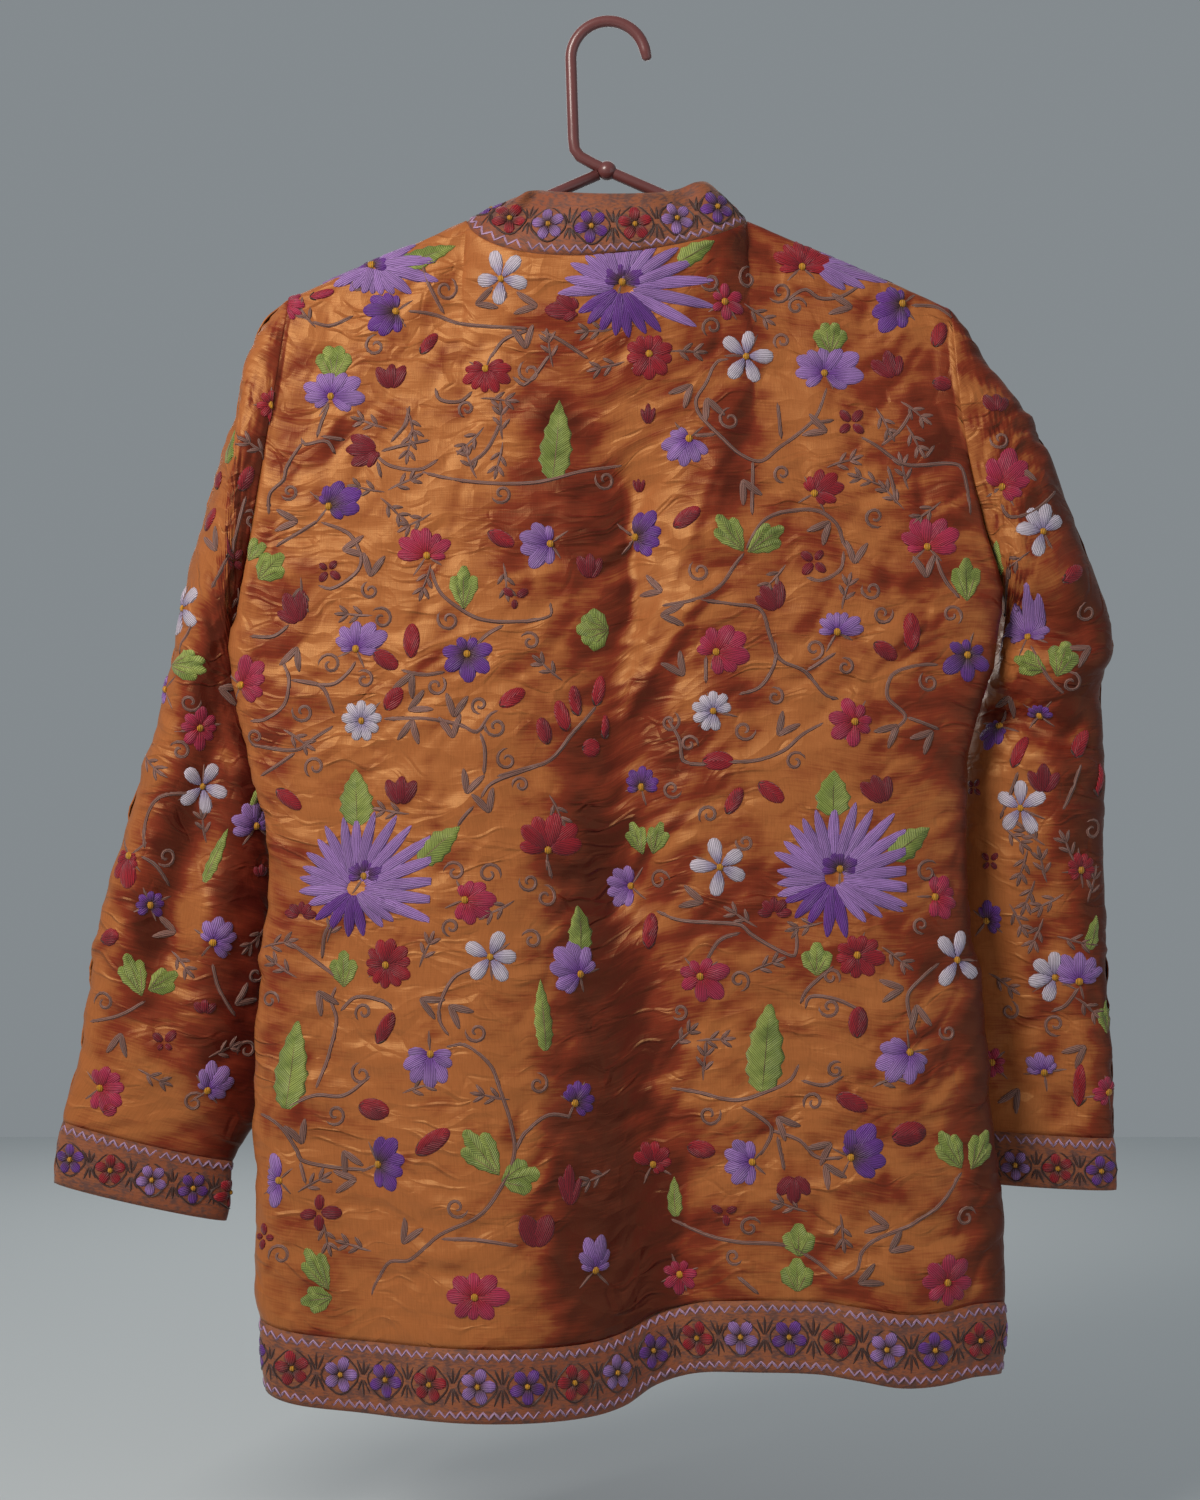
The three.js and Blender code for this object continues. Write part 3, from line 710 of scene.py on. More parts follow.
        # The share towards rust, which carries painted shade and light as well as the silk's rust tone.
        shown = mesh.attributes.new("rust_and_shade", "FLOAT", "POINT")
        shown.data.foreach_set("value", self.rust_and_shade()[j, i].astype(np.float32))
        self._close(mesh, i, j)
        mesh.materials.append(material)
        mesh.shade_smooth()
        self.obj = bpy.data.objects.new(self.name, mesh)
        bpy.context.collection.objects.link(self.obj)
        shell = self.obj.modifiers.new("thickness", "SOLIDIFY")
        shell.thickness = self.thick * MM
        shell.offset = -1
        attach(self.obj, "root")
        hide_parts(self.node)
        LOG.info("%s: %d by %d", self.name, rows, columns)
        return self.obj

    def _close(self, mesh: bpy.types.Mesh, i: np.ndarray, j: np.ndarray) -> None:
        """Turns the faces outwards, and joins a tube's first and last columns.

        Args:
            mesh: the panel's mesh, changed in place.
            i: each vertex's column.
            j: each vertex's row.
        """
        bm = bmesh.new()
        bm.from_mesh(mesh)
        bm.faces.ensure_lookup_table()
        face = bm.faces[len(bm.faces) // 2]
        vert = face.verts[0]
        wanted = self.normal[j[vert.index], i[vert.index]]
        face.normal_update()
        if face.normal.dot(Vector(wanted)) < 0:
            bmesh.ops.reverse_faces(bm, faces=bm.faces[:])
        if self.closed:
            ends = [v for v in bm.verts if i[v.index] in (0, self.cloth.shape[1] - 1)]
            bmesh.ops.remove_doubles(bm, verts=ends, dist=0.05 * MM)
        bm.to_mesh(mesh)
        bm.free()

    def area(self) -> float:
        """The flat cut's area in square metres.

        Returns:
            The area of the smooth form, without its creases.
        """
        a = self.form[:-1, :-1] - self.form[1:, 1:]
        b = self.form[:-1, 1:] - self.form[1:, :-1]
        return float(np.linalg.norm(np.cross(a, b), axis=2).sum() / 2) * MM**2

    def size(self) -> tuple[float, float]:
        """The flat cut's greatest width and length in metres."""
        p, q = self.flat[..., 0], self.flat[..., 1]
        return float((p[:, -1] - p[:, 0]).max()) * MM, float(q[-1].max()) * MM


def spread(count: int, low: float, high: float) -> np.ndarray:
    """Places across the body, closer together towards its sides.

    Args:
        count: how many.
        low: the first place, from -1.
        high: the last place, up to 1.

    Returns:
        The u of each.
    """
    w = np.linspace(low, high, count)
    return np.arcsin(np.clip(0.35 * np.sin(np.pi / 2 * w) + 0.65 * w, -1, 1)) * 2 / np.pi


def fall(shoulder_rows: int, side_rows: int) -> np.ndarray:
    """Places down the body, closer together at the shoulder, down to the border.

    Args:
        shoulder_rows: rows down to the underarm.
        side_rows: rows from there to the border.

    Returns:
        The v of each.
    """
    t = np.linspace(0, 1, shoulder_rows)
    upper = 1.06 * t**2 / (t + 0.06)
    return np.concatenate([upper, np.linspace(1, 2, side_rows)[1:]])


# Finishes


class Shader:
    """A short way to wire a material's nodes."""

    def __init__(self, name: str) -> None:
        """Starts a material with only its Principled shader and output.

        Args:
            name: the material's name.
        """
        self.material = bpy.data.materials.new(name)
        self.material.use_nodes = True
        self.tree = self.material.node_tree
        self.principled = self.tree.nodes["Principled BSDF"]

    def node(self, kind: str, inputs: dict[str, object] | None = None, **settings: object) -> bpy.types.Node:
        """Adds a node.

        Args:
            kind: the node's Blender type.
            inputs: values or sockets for its inputs, by name.
            settings: its other properties.

        Returns:
            The node.
        """
        made = self.tree.nodes.new(kind)
        for key, value in settings.items():
            setattr(made, key, value)
        for key, value in (inputs or {}).items():
            self.feed(made.inputs[key], value)
        return made

    def feed(self, socket: bpy.types.NodeSocket, value: object) -> None:
        """Sets an input to a value, or links it to a socket.

        Args:
            socket: the input.
            value: a plain value, or the socket that feeds it.
        """
        if isinstance(value, bpy.types.NodeSocket):
            self.tree.links.new(value, socket)
        else:
            socket.default_value = value

    def set(self, **inputs: object) -> None:
        """Feeds the Principled shader, with _ for a space in a socket's name."""
        for key, value in inputs.items():
            self.feed(self.principled.inputs[key.replace("_", " ")], value)

    def maths(self, operation: str, a: object, b: object = 0.0) -> bpy.types.NodeSocket:
        """A sum of two values, by Blender's name for it.

        Args:
            operation: the sum, such as ADD.
            a: the first value or socket.
            b: the second one.

        Returns:
            The result's socket.
        """
        made = self.node("ShaderNodeMath", operation=operation)
        self.feed(made.inputs[0], a)
        self.feed(made.inputs[1], b)
        return made.outputs[0]

    def blend(self, share: object, a: object, b: object) -> bpy.types.NodeSocket:
        """A colour between two others.

        Args:
            share: how much of b, from 0 to 1.
            a: the first colour or socket.
            b: the second one.

        Returns:
            The colour's socket.
        """
        made = self.node("ShaderNodeMix", data_type="RGBA")
        for index, value in ((0, share), (6, a), (7, b)):
            self.feed(made.inputs[index], value)
        return made.outputs[2]

    def speckle(
        self, vector: object, scale: float, detail: float = 3.0, **settings: object
    ) -> bpy.types.NodeSocket:
        """A noise texture's value."""
        inputs = {"Vector": vector, "Scale": scale, "Detail": detail}
        made = self.node("ShaderNodeTexNoise", inputs, **settings)
        return made.outputs[0]

    def stretched(self, vector: object, scale: tuple[float, float, float]) -> bpy.types.NodeSocket:
        """Coordinates stretched by a scale."""
        return self.node("ShaderNodeMapping", {"Vector": vector, "Scale": scale}).outputs[0]

    def bump(
        self, height: object, distance: float, strength: float = 1.0, normal: object = None
    ) -> bpy.types.NodeSocket:
        """A bump of a height, in millimetres at a height of 1.

        Args:
            height: the height's socket.
            distance: millimetres at a height of 1.
            strength: how much of the bump shows.
            normal: a bump that this one is added to.

        Returns:
            The new normal's socket.
        """
        inputs = {"Height": height, "Distance": distance * MM, "Strength": strength}
        made = self.node("ShaderNodeBump", inputs)
        if normal is not None:
            self.feed(made.inputs["Normal"], normal)
        return made.outputs[0]


def linear(red: int, green: int, blue: int) -> tuple[float, float, float, float]:
    """A colour as seen, from 0 to 255, as the light that Blender wants.

    Args:
        red: the red of it.
        green: the green.
        blue: the blue.

    Returns:
        Red, green, blue and an alpha of 1, in linear light.
    """
    def channel(value: int) -> float:
        """One channel."""
        share = value / 255
        return share / 12.92 if share <= 0.04045 else ((share + 0.055) / 1.055) ** 2.4

    return channel(red), channel(green), channel(blue), 1.0


@dataclass(frozen=True)
class ShotSilk:
    """Slubbed silk woven of gold and rust, with painted light and shade: gold where it faces the light at the
    upper left, rust and deep painted shade where it faces away.
    """

    # Gold, amber and rust are the silk's tones and also serve as its painted light and shade; deep is painted
    # shade alone, for the darkest valleys and hollows.
    gold: tuple[int, int, int] = (168, 98, 54)
    amber: tuple[int, int, int] = (148, 77, 43)
    rust_and_shade: tuple[int, int, int] = (126, 44, 30)
    deep: tuple[int, int, int] = (80, 18, 18)
    roughness: float = 0.4

    def make(self, name: str) -> bpy.types.Material:
        """Builds the silk's material.

        Args:
            name: the material's name.

        Returns:
            The material.
        """
        sh = Shader(name)
        uv = sh.node("ShaderNodeUVMap", uv_map="cloth").outputs[0]
        # The share of rust tone and painted shade and light, made when the panel is built.
        turn = sh.node("ShaderNodeAttribute", attribute_name="rust_and_shade").outputs["Fac"]
        slubs = sh.speckle(sh.stretched(uv, (55, 900, 1)), 1.0, 4.0)
        ends = sh.speckle(sh.stretched(uv, (1300, 90, 1)), 1.0, 2.0)
        clouds = sh.maths(
            "ADD", sh.speckle(uv, 11.0, 2.0), sh.speckle(sh.stretched(uv, (22, 48, 1)), 1.0, 3.0)
        )
        wander = sh.maths("MULTIPLY", sh.maths("SUBTRACT", clouds, 1.0), 1.15)
        streak = sh.maths("MULTIPLY", sh.maths("SUBTRACT", slubs, 0.5), 0.5)
        share = sh.maths("ADD", turn, sh.maths("ADD", wander, streak))
        # The ramp paints the share as colour, from gold through amber and rust to the deep painted shade.
        warm = sh.node("ShaderNodeValToRGB", {"Fac": share})
        ramp = warm.color_ramp
        ramp.elements[0].position, ramp.elements[0].color = 0.24, linear(*self.gold)
        ramp.elements[1].position, ramp.elements[1].color = 0.96, linear(*self.deep)
        for position, colour in ((0.43, self.amber), (0.58, self.rust_and_shade)):
            ramp.elements.new(position).color = linear(*colour)
        dark = sh.maths("MULTIPLY", sh.maths("SUBTRACT", 0.62, ends), 0.55)
        colour = sh.blend(dark, warm.outputs[0], linear(84, 36, 14))
        bent = self.bent(sh, uv)
        facets = sh.node(
            "ShaderNodeTexVoronoi", {"Vector": sh.stretched(bent, (44, 82, 1)), "Scale": 1.0}, feature="F1"
        ).outputs["Distance"]
        lines = sh.node(
            "ShaderNodeTexVoronoi", {"Vector": sh.stretched(bent, (26, 50, 1)), "Scale": 1.0},
            feature="DISTANCE_TO_EDGE",
        ).outputs["Distance"]
        lines = sh.node("ShaderNodeMapRange", {"Value": lines, "From Max": 0.07}).outputs[0]
        long_lines = sh.node(
            "ShaderNodeTexVoronoi", {"Vector": sh.stretched(bent, (15, 62, 1)), "Scale": 1.0},
            feature="DISTANCE_TO_EDGE",
        ).outputs["Distance"]
        long_lines = sh.node(
            "ShaderNodeMapRange", {"Value": long_lines, "From Max": 0.08, "To Min": 1.0, "To Max": 0.0}
        )
        fading = sh.node(
            "ShaderNodeMapRange", {"Value": sh.speckle(uv, 21.0, 2.0), "From Min": 0.46, "From Max": 0.6}
        )
        long_lines = sh.maths("MULTIPLY", long_lines.outputs[0], fading.outputs[0])
        near = sh.node(
            "ShaderNodeMapRange", {"Value": sh.speckle(uv, 34.0, 2.0), "From Min": 0.48, "From Max": 0.62}
        )
        lines = sh.maths("MULTIPLY", sh.maths("SUBTRACT", lines, 1.0), near.outputs[0])
        woven = sh.maths("ADD", sh.maths("MULTIPLY", slubs, 0.6), sh.maths("MULTIPLY", ends, 0.4))
        normal = sh.bump(facets, 2.4, 0.7)
        normal = sh.bump(long_lines, 0.8, 0.9, sh.bump(lines, 0.5, 0.9, normal))
        normal = sh.bump(woven, 0.35, 0.6, normal)
        sh.set(
            Base_Color=colour,
            Roughness=sh.maths("ADD", sh.maths("MULTIPLY", slubs, 0.18), self.roughness - 0.09),
            Normal=normal,
            Anisotropic=0.35,
            Sheen_Weight=0.12,
            Sheen_Roughness=0.35,
            Sheen_Tint=linear(220, 150, 70),
            Specular_IOR_Level=0.5,
            Specular_Tint=linear(255, 208, 140),
        )
        sh.set(Tangent=sh.node("ShaderNodeTangent", direction_type="UV_MAP", uv_map="cloth").outputs[0])
        return sh.material

    @staticmethod
    def bent(sh: Shader, uv: bpy.types.NodeSocket) -> bpy.types.NodeSocket:
        """Bends the cloth's coordinates a little, so that no crease runs straight.

        Args:
            sh: the material's wiring.
            uv: the coordinates.

        Returns:
            The bent coordinates.
        """
        drift = sh.node("ShaderNodeTexNoise", {"Vector": uv, "Scale": 16.0, "Detail": 2.0}).outputs["Color"]
        small = sh.node("ShaderNodeVectorMath", {0: drift, 1: (0.05, 0.05, 0)}, operation="MULTIPLY")
        return sh.node("ShaderNodeVectorMath", {0: uv, 1: small.outputs[0]}, operation="ADD").outputs[0]


@dataclass(frozen=True)
class BorderSilk:
    """The silk of the borders, almost hidden under rows of brown chain stitch."""

    silk: tuple[int, int, int] = (142, 80, 44)
    stitch: tuple[int, int, int] = (98, 58, 46)

    def make(self, name: str) -> bpy.types.Material:
        """Builds the border's material.

        Args:
            name: the material's name.

        Returns:
            The material.
        """
        sh = Shader(name)
        uv = sh.node("ShaderNodeUVMap", uv_map="cloth").outputs[0]
        turn = sh.node("ShaderNodeAttribute", attribute_name="rust_and_shade").outputs["Fac"]
        rows = sh.speckle(sh.stretched(uv, (260, 700, 1)), 1.0, 3.0)
        islands = sh.speckle(uv, 120.0, 2.0)
        cover = sh.maths("MULTIPLY", sh.maths("SUBTRACT", sh.maths("ADD", rows, islands), 0.92), 4.0)
        cover = sh.node("ShaderNodeClamp", {"Value": cover}).outputs[0]
        # The border's silk goes towards rust by the same share, which carries painted shade and light.
        ground = sh.blend(turn, linear(*self.silk), linear(132, 58, 26))
        sh.set(
            Base_Color=sh.blend(cover, ground, linear(*self.stitch)),
            Roughness=0.72,
            Normal=sh.bump(rows, 0.6, 0.8),
            Sheen_Weight=0.15,
        )
        return sh.material


@dataclass(frozen=True)
class HangerPlastic:
    """Maroon moulded plastic, smooth with faint scuffs."""

    colour: tuple[int, int, int] = (112, 62, 60)

    def make(self, name: str) -> bpy.types.Material:
        """Builds the plastic's material.

        Args:
            name: the material's name.

        Returns:
            The material.
        """
        sh = Shader(name)
        place = sh.node("ShaderNodeTexCoord").outputs["Object"]
        scuffs = sh.speckle(sh.stretched(place, (900, 900, 120)), 1.0, 4.0)
        cloudy = sh.speckle(place, 60.0, 2.0)
        sh.set(
            Base_Color=sh.blend(sh.maths("MULTIPLY", cloudy, 0.4), linear(*self.colour), linear(84, 42, 42)),
            Roughness=sh.maths("ADD", sh.maths("MULTIPLY", scuffs, 0.2), 0.24),
            Normal=sh.bump(scuffs, 0.05, 0.5),
            Coat_Weight=0.25,
        )
        return sh.material


@dataclass(frozen=True)
class Floss:
    """Soft glossy embroidery thread laid in rows, in the colour that each stitch gives, with painted shade in
    the grooves between the rows.
    """

    pitch: float = 1.1
    roughness: float = 0.5

    def make(self, name: str) -> bpy.types.Material:
        """Builds the thread's material.

        Args:
            name: the material's name.

        Returns:
            The material.
        """
        sh = Shader(name)
        uv = sh.node("ShaderNodeUVMap", uv_map="stitch").outputs[0]
        dye = sh.node("ShaderNodeAttribute", attribute_name="dye").outputs["Color"]
        across = sh.node("ShaderNodeSeparateXYZ", {"Vector": uv}).outputs[1]
        wander = sh.maths("MULTIPLY", sh.speckle(sh.stretched(uv, (90, 220, 1)), 1.0, 2.0), 0.9 * MM)
        turns = 2 * math.pi / (self.pitch * MM)
        row = sh.maths("SINE", sh.maths("MULTIPLY", sh.maths("ADD", across, wander), turns))
        strands = sh.speckle(sh.stretched(uv, (70, 1500, 1)), 1.0, 2.0)
        # Painted shade: the thread darkens in the grooves between its rows.
        groove_shade = sh.maths("MULTIPLY", sh.maths("SUBTRACT", 0.5, sh.maths("MULTIPLY", row, 0.5)), 0.8)
        # Darker where the strands' noise is low, which is also where their bump dips.
        strand_darkening = sh.maths("MULTIPLY", sh.maths("SUBTRACT", 0.62, strands), 1.1)
        share = sh.node("ShaderNodeClamp", {"Value": sh.maths("ADD", groove_shade, strand_darkening)}).outputs[0]
        # The darker thread colour that the painted shade and the strand darkening blend towards.
        deep = sh.node("ShaderNodeHueSaturation", {"Color": dye, "Value": 0.34, "Saturation": 1.1}).outputs[0]
        height = sh.maths("ADD", sh.maths("MULTIPLY", row, 0.4), strands)
        sh.set(
            Base_Color=sh.blend(share, dye, deep),
            Roughness=self.roughness,
            Normal=sh.bump(height, 0.45, 0.9),
            Sheen_Weight=0.12,
            Specular_IOR_Level=0.4,
        )
        return sh.material


# Embroidery threads and stitches


class Dye(Enum):
    """The embroidery threads' colours, as seen."""

    LILAC = (172, 128, 198)
    VIOLET = (120, 62, 158)
    WHITE = (228, 214, 228)
    MIST = (158, 138, 184)
    RED = (172, 20, 38)
    GARNET = (136, 14, 34)
    PINK = (190, 48, 84)
    LEAF = (170, 182, 92)
    MOSS = (142, 158, 72)
    BROWN = (150, 106, 94)
    UMBER = (84, 50, 42)
    YELLOW = (226, 156, 28)
    MAUVE = (200, 160, 196)


class Shape(Enum):
    """How a stitched petal or leaf swells from its base and closes at its tip."""

    ROUND = (0.7, 0.56)
    TEAR = (0.95, 0.5)
    RAY = (0.55, 0.62)
    POINTED = (0.6, 0.62)
    LEAF = (0.45, 0.92)
    DISC = (0.5, 0.5)


@lru_cache(maxsize=None)
def grid_corners(rows: int, columns: int) -> np.ndarray:
    """The corners of a grid's faces, each point numbered row by row.

    Args:
        rows: the points down.
        columns: the points across.

    Returns:
        Four point numbers for each face.
    """
    bm = bmesh.new()
    bmesh.ops.create_grid(bm, x_segments=columns - 1, y_segments=rows - 1, size=0.5)
    corners = [
        [
            round((vert.co.y + 0.5) * (rows - 1)) * columns + round((vert.co.x + 0.5) * (columns - 1))
            for vert in face.verts
        ]
        for face in bm.faces
    ]
    bm.free()
    return np.array(corners)


def turned(angle: float) -> np.ndarray:
    """The direction of an angle on a clock face: 0 is up and 90 is right."""
    return np.array([math.sin(math.radians(angle)), math.cos(math.radians(angle))])


def smoothed(points: np.ndarray, step: float) -> np.ndarray:
    """Draws a smooth line through points.

    Args:
        points: the points that it passes, in millimetres.
        step: the distance between the new points.

    Returns:
        Points along the line.
    """
    along = np.concatenate([[0], np.cumsum(np.linalg.norm(np.diff(points, axis=0), axis=1))])
    count = max(int(along[-1] / step) + 1, 3)
    places = np.linspace(0, along[-1], count)
    return np.stack([Curve(tuple(zip(along, points[:, axis]))).at(places) for axis in (0, 1)], 1)


@dataclass(frozen=True)
class Site:
    """A side of a panel that a design is worked on, and how the design is moved there."""

    panel: Panel
    first: int
    last: int
    seen: bool = True
    flip: int = 1
    shift_x: float = 0.0
    shift_z: float = 0.0

    def spread_out(self) -> tuple[np.ndarray, np.ndarray]:
        """Where each point of the panel appears from the side that the design faces.

        Returns:
            X and Z in millimetres on the hanger's plane.
        """
        form = self.panel.form
        if not self.seen:
            return form[..., 0], form[..., 2]
        cx, cz = PHOTO.centre()
        scale = PHOTO.distance / (PHOTO.distance + form[..., 1])
        return cx + (form[..., 0] - cx) * scale, cz + (form[..., 2] - cz) * scale

    def find(self, pixels: np.ndarray) -> tuple[np.ndarray, np.ndarray]:
        """Finds the places on the panel that lie under pixels.

        Args:
            pixels: columns and rows in the photograph.

        Returns:
            The column and row on the panel's grid of each, and how far off it lies, in millimetres.
        """
        x, z = PHOTO.place(pixels[:, 0], pixels[:, 1])
        x, z = x * self.flip + self.shift_x, z + self.shift_z
        shown_x, shown_z = self.spread_out()
        part = slice(self.first, self.last + 1)
        away = (shown_x[None, :, part] - x[:, None, None]) ** 2
        away = away + (shown_z[None, :, part] - z[:, None, None]) ** 2
        nearest = away.reshape(len(x), -1).argmin(1)
        width = self.last + 1 - self.first
        place = np.stack([nearest % width + self.first, nearest // width], 1).astype(float)
        shown = np.stack([shown_x, shown_z], -1)
        target = np.stack([x, z], 1)
        for _ in range(6):
            miss = target - grid_value(shown, place)
            place = place + solved(*grid_slopes(shown, place), miss)
            place[:, 0] = np.clip(place[:, 0], self.first - 3, self.last + 3)
            place[:, 1] = np.clip(place[:, 1], -6, len(shown) + 5)
        return place, np.linalg.norm(target - grid_value(shown, place), axis=1)


def grid_value(grid: np.ndarray, place: np.ndarray) -> np.ndarray:
    """The value of a grid between its points, and a little past its edges.

    Args:
        grid: rows and columns of values.
        place: a column and a row for each value wanted.

    Returns:
        The values.
    """
    j = np.clip(np.floor(place[..., 1]).astype(int), 0, grid.shape[0] - 2)
    i = np.clip(np.floor(place[..., 0]).astype(int), 0, grid.shape[1] - 2)
    s, t = (place[..., 0] - i)[..., None], (place[..., 1] - j)[..., None]
    upper = mix(grid[j, i], grid[j, i + 1], s)
    return mix(upper, mix(grid[j + 1, i], grid[j + 1, i + 1], s), t)


def grid_slopes(grid: np.ndarray, place: np.ndarray) -> tuple[np.ndarray, np.ndarray]:
    """How a grid's value changes for each column and for each row at places on it.

    Args:
        grid: values on the panel's grid.
        place: columns and rows, in the last axis.

    Returns:
        The change for a column and the change for a row.
    """
    half = np.array([0.5, 0.0])
    sideways = grid_value(grid, place + half) - grid_value(grid, place - half)
    return sideways, grid_value(grid, place + half[::-1]) - grid_value(grid, place - half[::-1])


def solved(a: np.ndarray, b: np.ndarray, wanted: np.ndarray) -> np.ndarray:
    """Solves s * a + t * b = wanted in the plane.

    Args:
        a: the first direction of each.
        b: the second direction of each.
        wanted: the sum of each.

    Returns:
        s and t, each at most 3 so that a bad start does no harm.
    """
    det = a[..., 0] * b[..., 1] - a[..., 1] * b[..., 0]
    det = np.where(np.abs(det) < 1e-6, 1e-6, det)
    s = (wanted[..., 0] * b[..., 1] - wanted[..., 1] * b[..., 0]) / det
    t = (a[..., 0] * wanted[..., 1] - a[..., 1] * wanted[..., 0]) / det
    return np.clip(np.stack([s, t], -1), -3, 3)


@dataclass
class Stitch:
    """One satin or chain stitched shape: the points across it, how full it stands and its thread's colour."""

    spots: np.ndarray
    height: np.ndarray
    thread: np.ndarray
    colour: np.ndarray


@dataclass
class Needlework:
    """All the embroidery on one panel, worked motif by motif and joined as one mesh."""

    panel: Panel
    seed: int
    name: str = ""
    places: list[np.ndarray] = field(default_factory=list)
    heights: list[np.ndarray] = field(default_factory=list)
    threads: list[np.ndarray] = field(default_factory=list)
    colours: list[np.ndarray] = field(default_factory=list)
    faces: list[np.ndarray] = field(default_factory=list)
    count: int = 0

    SUNK: float = -0.35
    FULL: tuple[tuple[float, float], ...] = ((-1, 0), (-0.72, 0.8), (0, 1), (0.72, 0.8), (1, 0), (-1, 0))
    HALF: tuple[tuple[float, float], ...] = ((0, 1), (0.7, 0.8), (1, 0), (0, 0), (0, 1))
    THIN: tuple[tuple[float, float], ...] = ((-1, 0), (0, 1), (1, 0), (-1, 0))

    def __post_init__(self) -> None:
        """Starts the seeded random numbers."""
        self.random = np.random.default_rng(self.seed)
        self.name = f"{self.panel.node}_embroidery"

    def shape(
        self,
        path: np.ndarray,
        half: np.ndarray,
        rise: float,
        dye: Dye,
        base: Dye | None = None,
        side: int = 0,
        slant: float = 0.0,
        thin: bool = False,
        lift: float = 0.0,
        tone: float = 0.12,
    ) -> Stitch:
        """Works one stitched shape along a path.

        Args:
            path: its middle line, in millimetres.
            half: half its width at each point of the path.
            rise: how full it stands over the cloth.
            dye: the thread's colour.
            base: another colour that it starts from.
            side: 0 for the whole shape, 1 or -1 for its right or left half.
            slant: degrees that the thread leans from the middle line.
            thin: fewer points across, for a narrow line.
            lift: how much higher it lies than its neighbours.
            tone: how much its lightness may differ.

        Returns:
            The shape.
        """
        section = np.array(self.THIN if thin else self.HALF if side else self.FULL, float)
        across, level = section[:, 0] * (side or 1), section[:, 1]
        ahead = np.gradient(path, axis=0)
        ahead /= np.maximum(np.linalg.norm(ahead, axis=1, keepdims=True), 1e-9)
        right = np.stack([ahead[:, 1], -ahead[:, 0]], 1)
        spots = path[:, None] + right[:, None] * (half[:, None] * across)[..., None]
        along = np.concatenate([[0], np.cumsum(np.linalg.norm(np.diff(path, axis=0), axis=1))])
        share = along / max(along[-1], 1e-9)
        ends = np.clip(np.sin(np.pi * share), 0, 1) ** 0.45
        top = (lift + rise * level) * ends[:, None]
        height = np.where(level > 0, np.maximum(top, 0.1 * ends[:, None]), 0) + self.SUNK * (level <= 0)
        height = np.where((half <= 1e-6)[:, None], self.SUNK * 0.5, height)
        sideways = np.abs(half[:, None] * across) if slant else half[:, None] * across
        lean = math.radians(slant)
        thread = np.stack(
            [
                along[:, None] * math.cos(lean) + sideways * math.sin(lean),
                sideways * math.cos(lean) - along[:, None] * math.sin(lean),
            ],
            -1,
        )
        thread += self.random.random(2) * 40
        shade = 1 + (self.random.random() - 0.5) * 2 * tone
        ends_dye = np.array(linear(*(base or dye).value)[:3]), np.array(linear(*dye.value)[:3])
        mixed = mix(ends_dye[0], ends_dye[1], ease(np.clip(share * 1.5, 0, 1))[:, None]) * shade
        colour = np.repeat(mixed[:, None], len(section), 1)
        return Stitch(spots, height, thread, colour)

    def petal(
        self, start: np.ndarray, turn: float, long: float, wide: float, shape: Shape, dye: Dye, **more: object
    ) -> Stitch:
        """Works a petal, leaf or bud.

        Args:
            start: its base.
            turn: its direction on a clock face, in degrees.
            long: its length in millimetres.
            wide: its width.
            shape: how it swells and closes.
            dye: the thread's colour.
            more: settings for shape(), and bend, how many degrees it curves.

        Returns:
            The petal.
        """
        bend = more.pop("bend", 0.0)
        rough = more.pop("rough", 0.0)
        count = int(np.clip(long / 2.6, 5, 16)) + 1
        t = (1 - np.cos(np.pi * np.linspace(0, 1, count))) / 2
        a, b = shape.value
        peak = a / (a + b)
        swell = (t / peak) ** a * ((1 - t) / (1 - peak)) ** b
        if rough:
            swell = swell * (1 + rough * np.where(np.arange(count) % 2, 1, -1))
        heading = np.radians(turn + bend * (t - 0.5))
        step = np.diff(t, prepend=0)[:, None] * long
        path = start + np.cumsum(step * np.stack([np.sin(heading), np.cos(heading)], 1), 0)
        return self.shape(path, swell * wide / 2, dye=dye, **more)

    def eye(self, start: np.ndarray, size: float, dye: Dye = Dye.YELLOW, lift: float = 0.9) -> Stitch:
        """Works a flower's round eye.

        Args:
            start: its middle.
            size: how wide it is.
            dye: the thread's colour.
            lift: how far it stands above the petals.

        Returns:
            The eye.
        """
        return self.petal(
            start - np.array([0, size / 2]), 0, size, size, Shape.DISC, dye, rise=1.0, lift=lift, tone=0.08
        )

    def set_down(self, site: Site, place: np.ndarray, stitches: Sequence[Stitch]) -> None:
        """Lays a motif on the cloth, round one place of it.

        Args:
            site: the side of the panel; not used.
            place: the column and row of the motif's middle on the panel's grid.
            stitches: the motif, in millimetres from its middle, to the right and up.
        """
        form = self.panel.form
        middle = grid_value(form, place)
        sideways, downwards = grid_slopes(form, place)
        normal = grid_value(self.panel.smooth, place)
        normal /= np.linalg.norm(normal)
        up = np.array([0, 0, 1.0]) - normal * normal[2]
        up /= np.linalg.norm(up)
        right = np.cross(up, normal)
        right *= 1 if right[0] > 0 else -1
        frame = np.stack([right, up], 1)
        spots = np.concatenate([s.spots.reshape(-1, 2) for s in stitches])
        at = place + solved(sideways @ frame, downwards @ frame, spots)
        for _ in range(5):
            miss = spots - (grid_value(form, at) - middle) @ frame
            a, b = grid_slopes(form, at)
            at = at + solved(a @ frame, b @ frame, miss)
            at[:, 0] = np.clip(at[:, 0], place[0] - 40, place[0] + 40)
            at[:, 1] = np.clip(at[:, 1], -20, len(form) + 20)
        start = 0
        for stitch in stitches:
            size = stitch.spots[..., 0].size
            self.keep(at[start : start + size].reshape(stitch.spots.shape), stitch)
            start += size

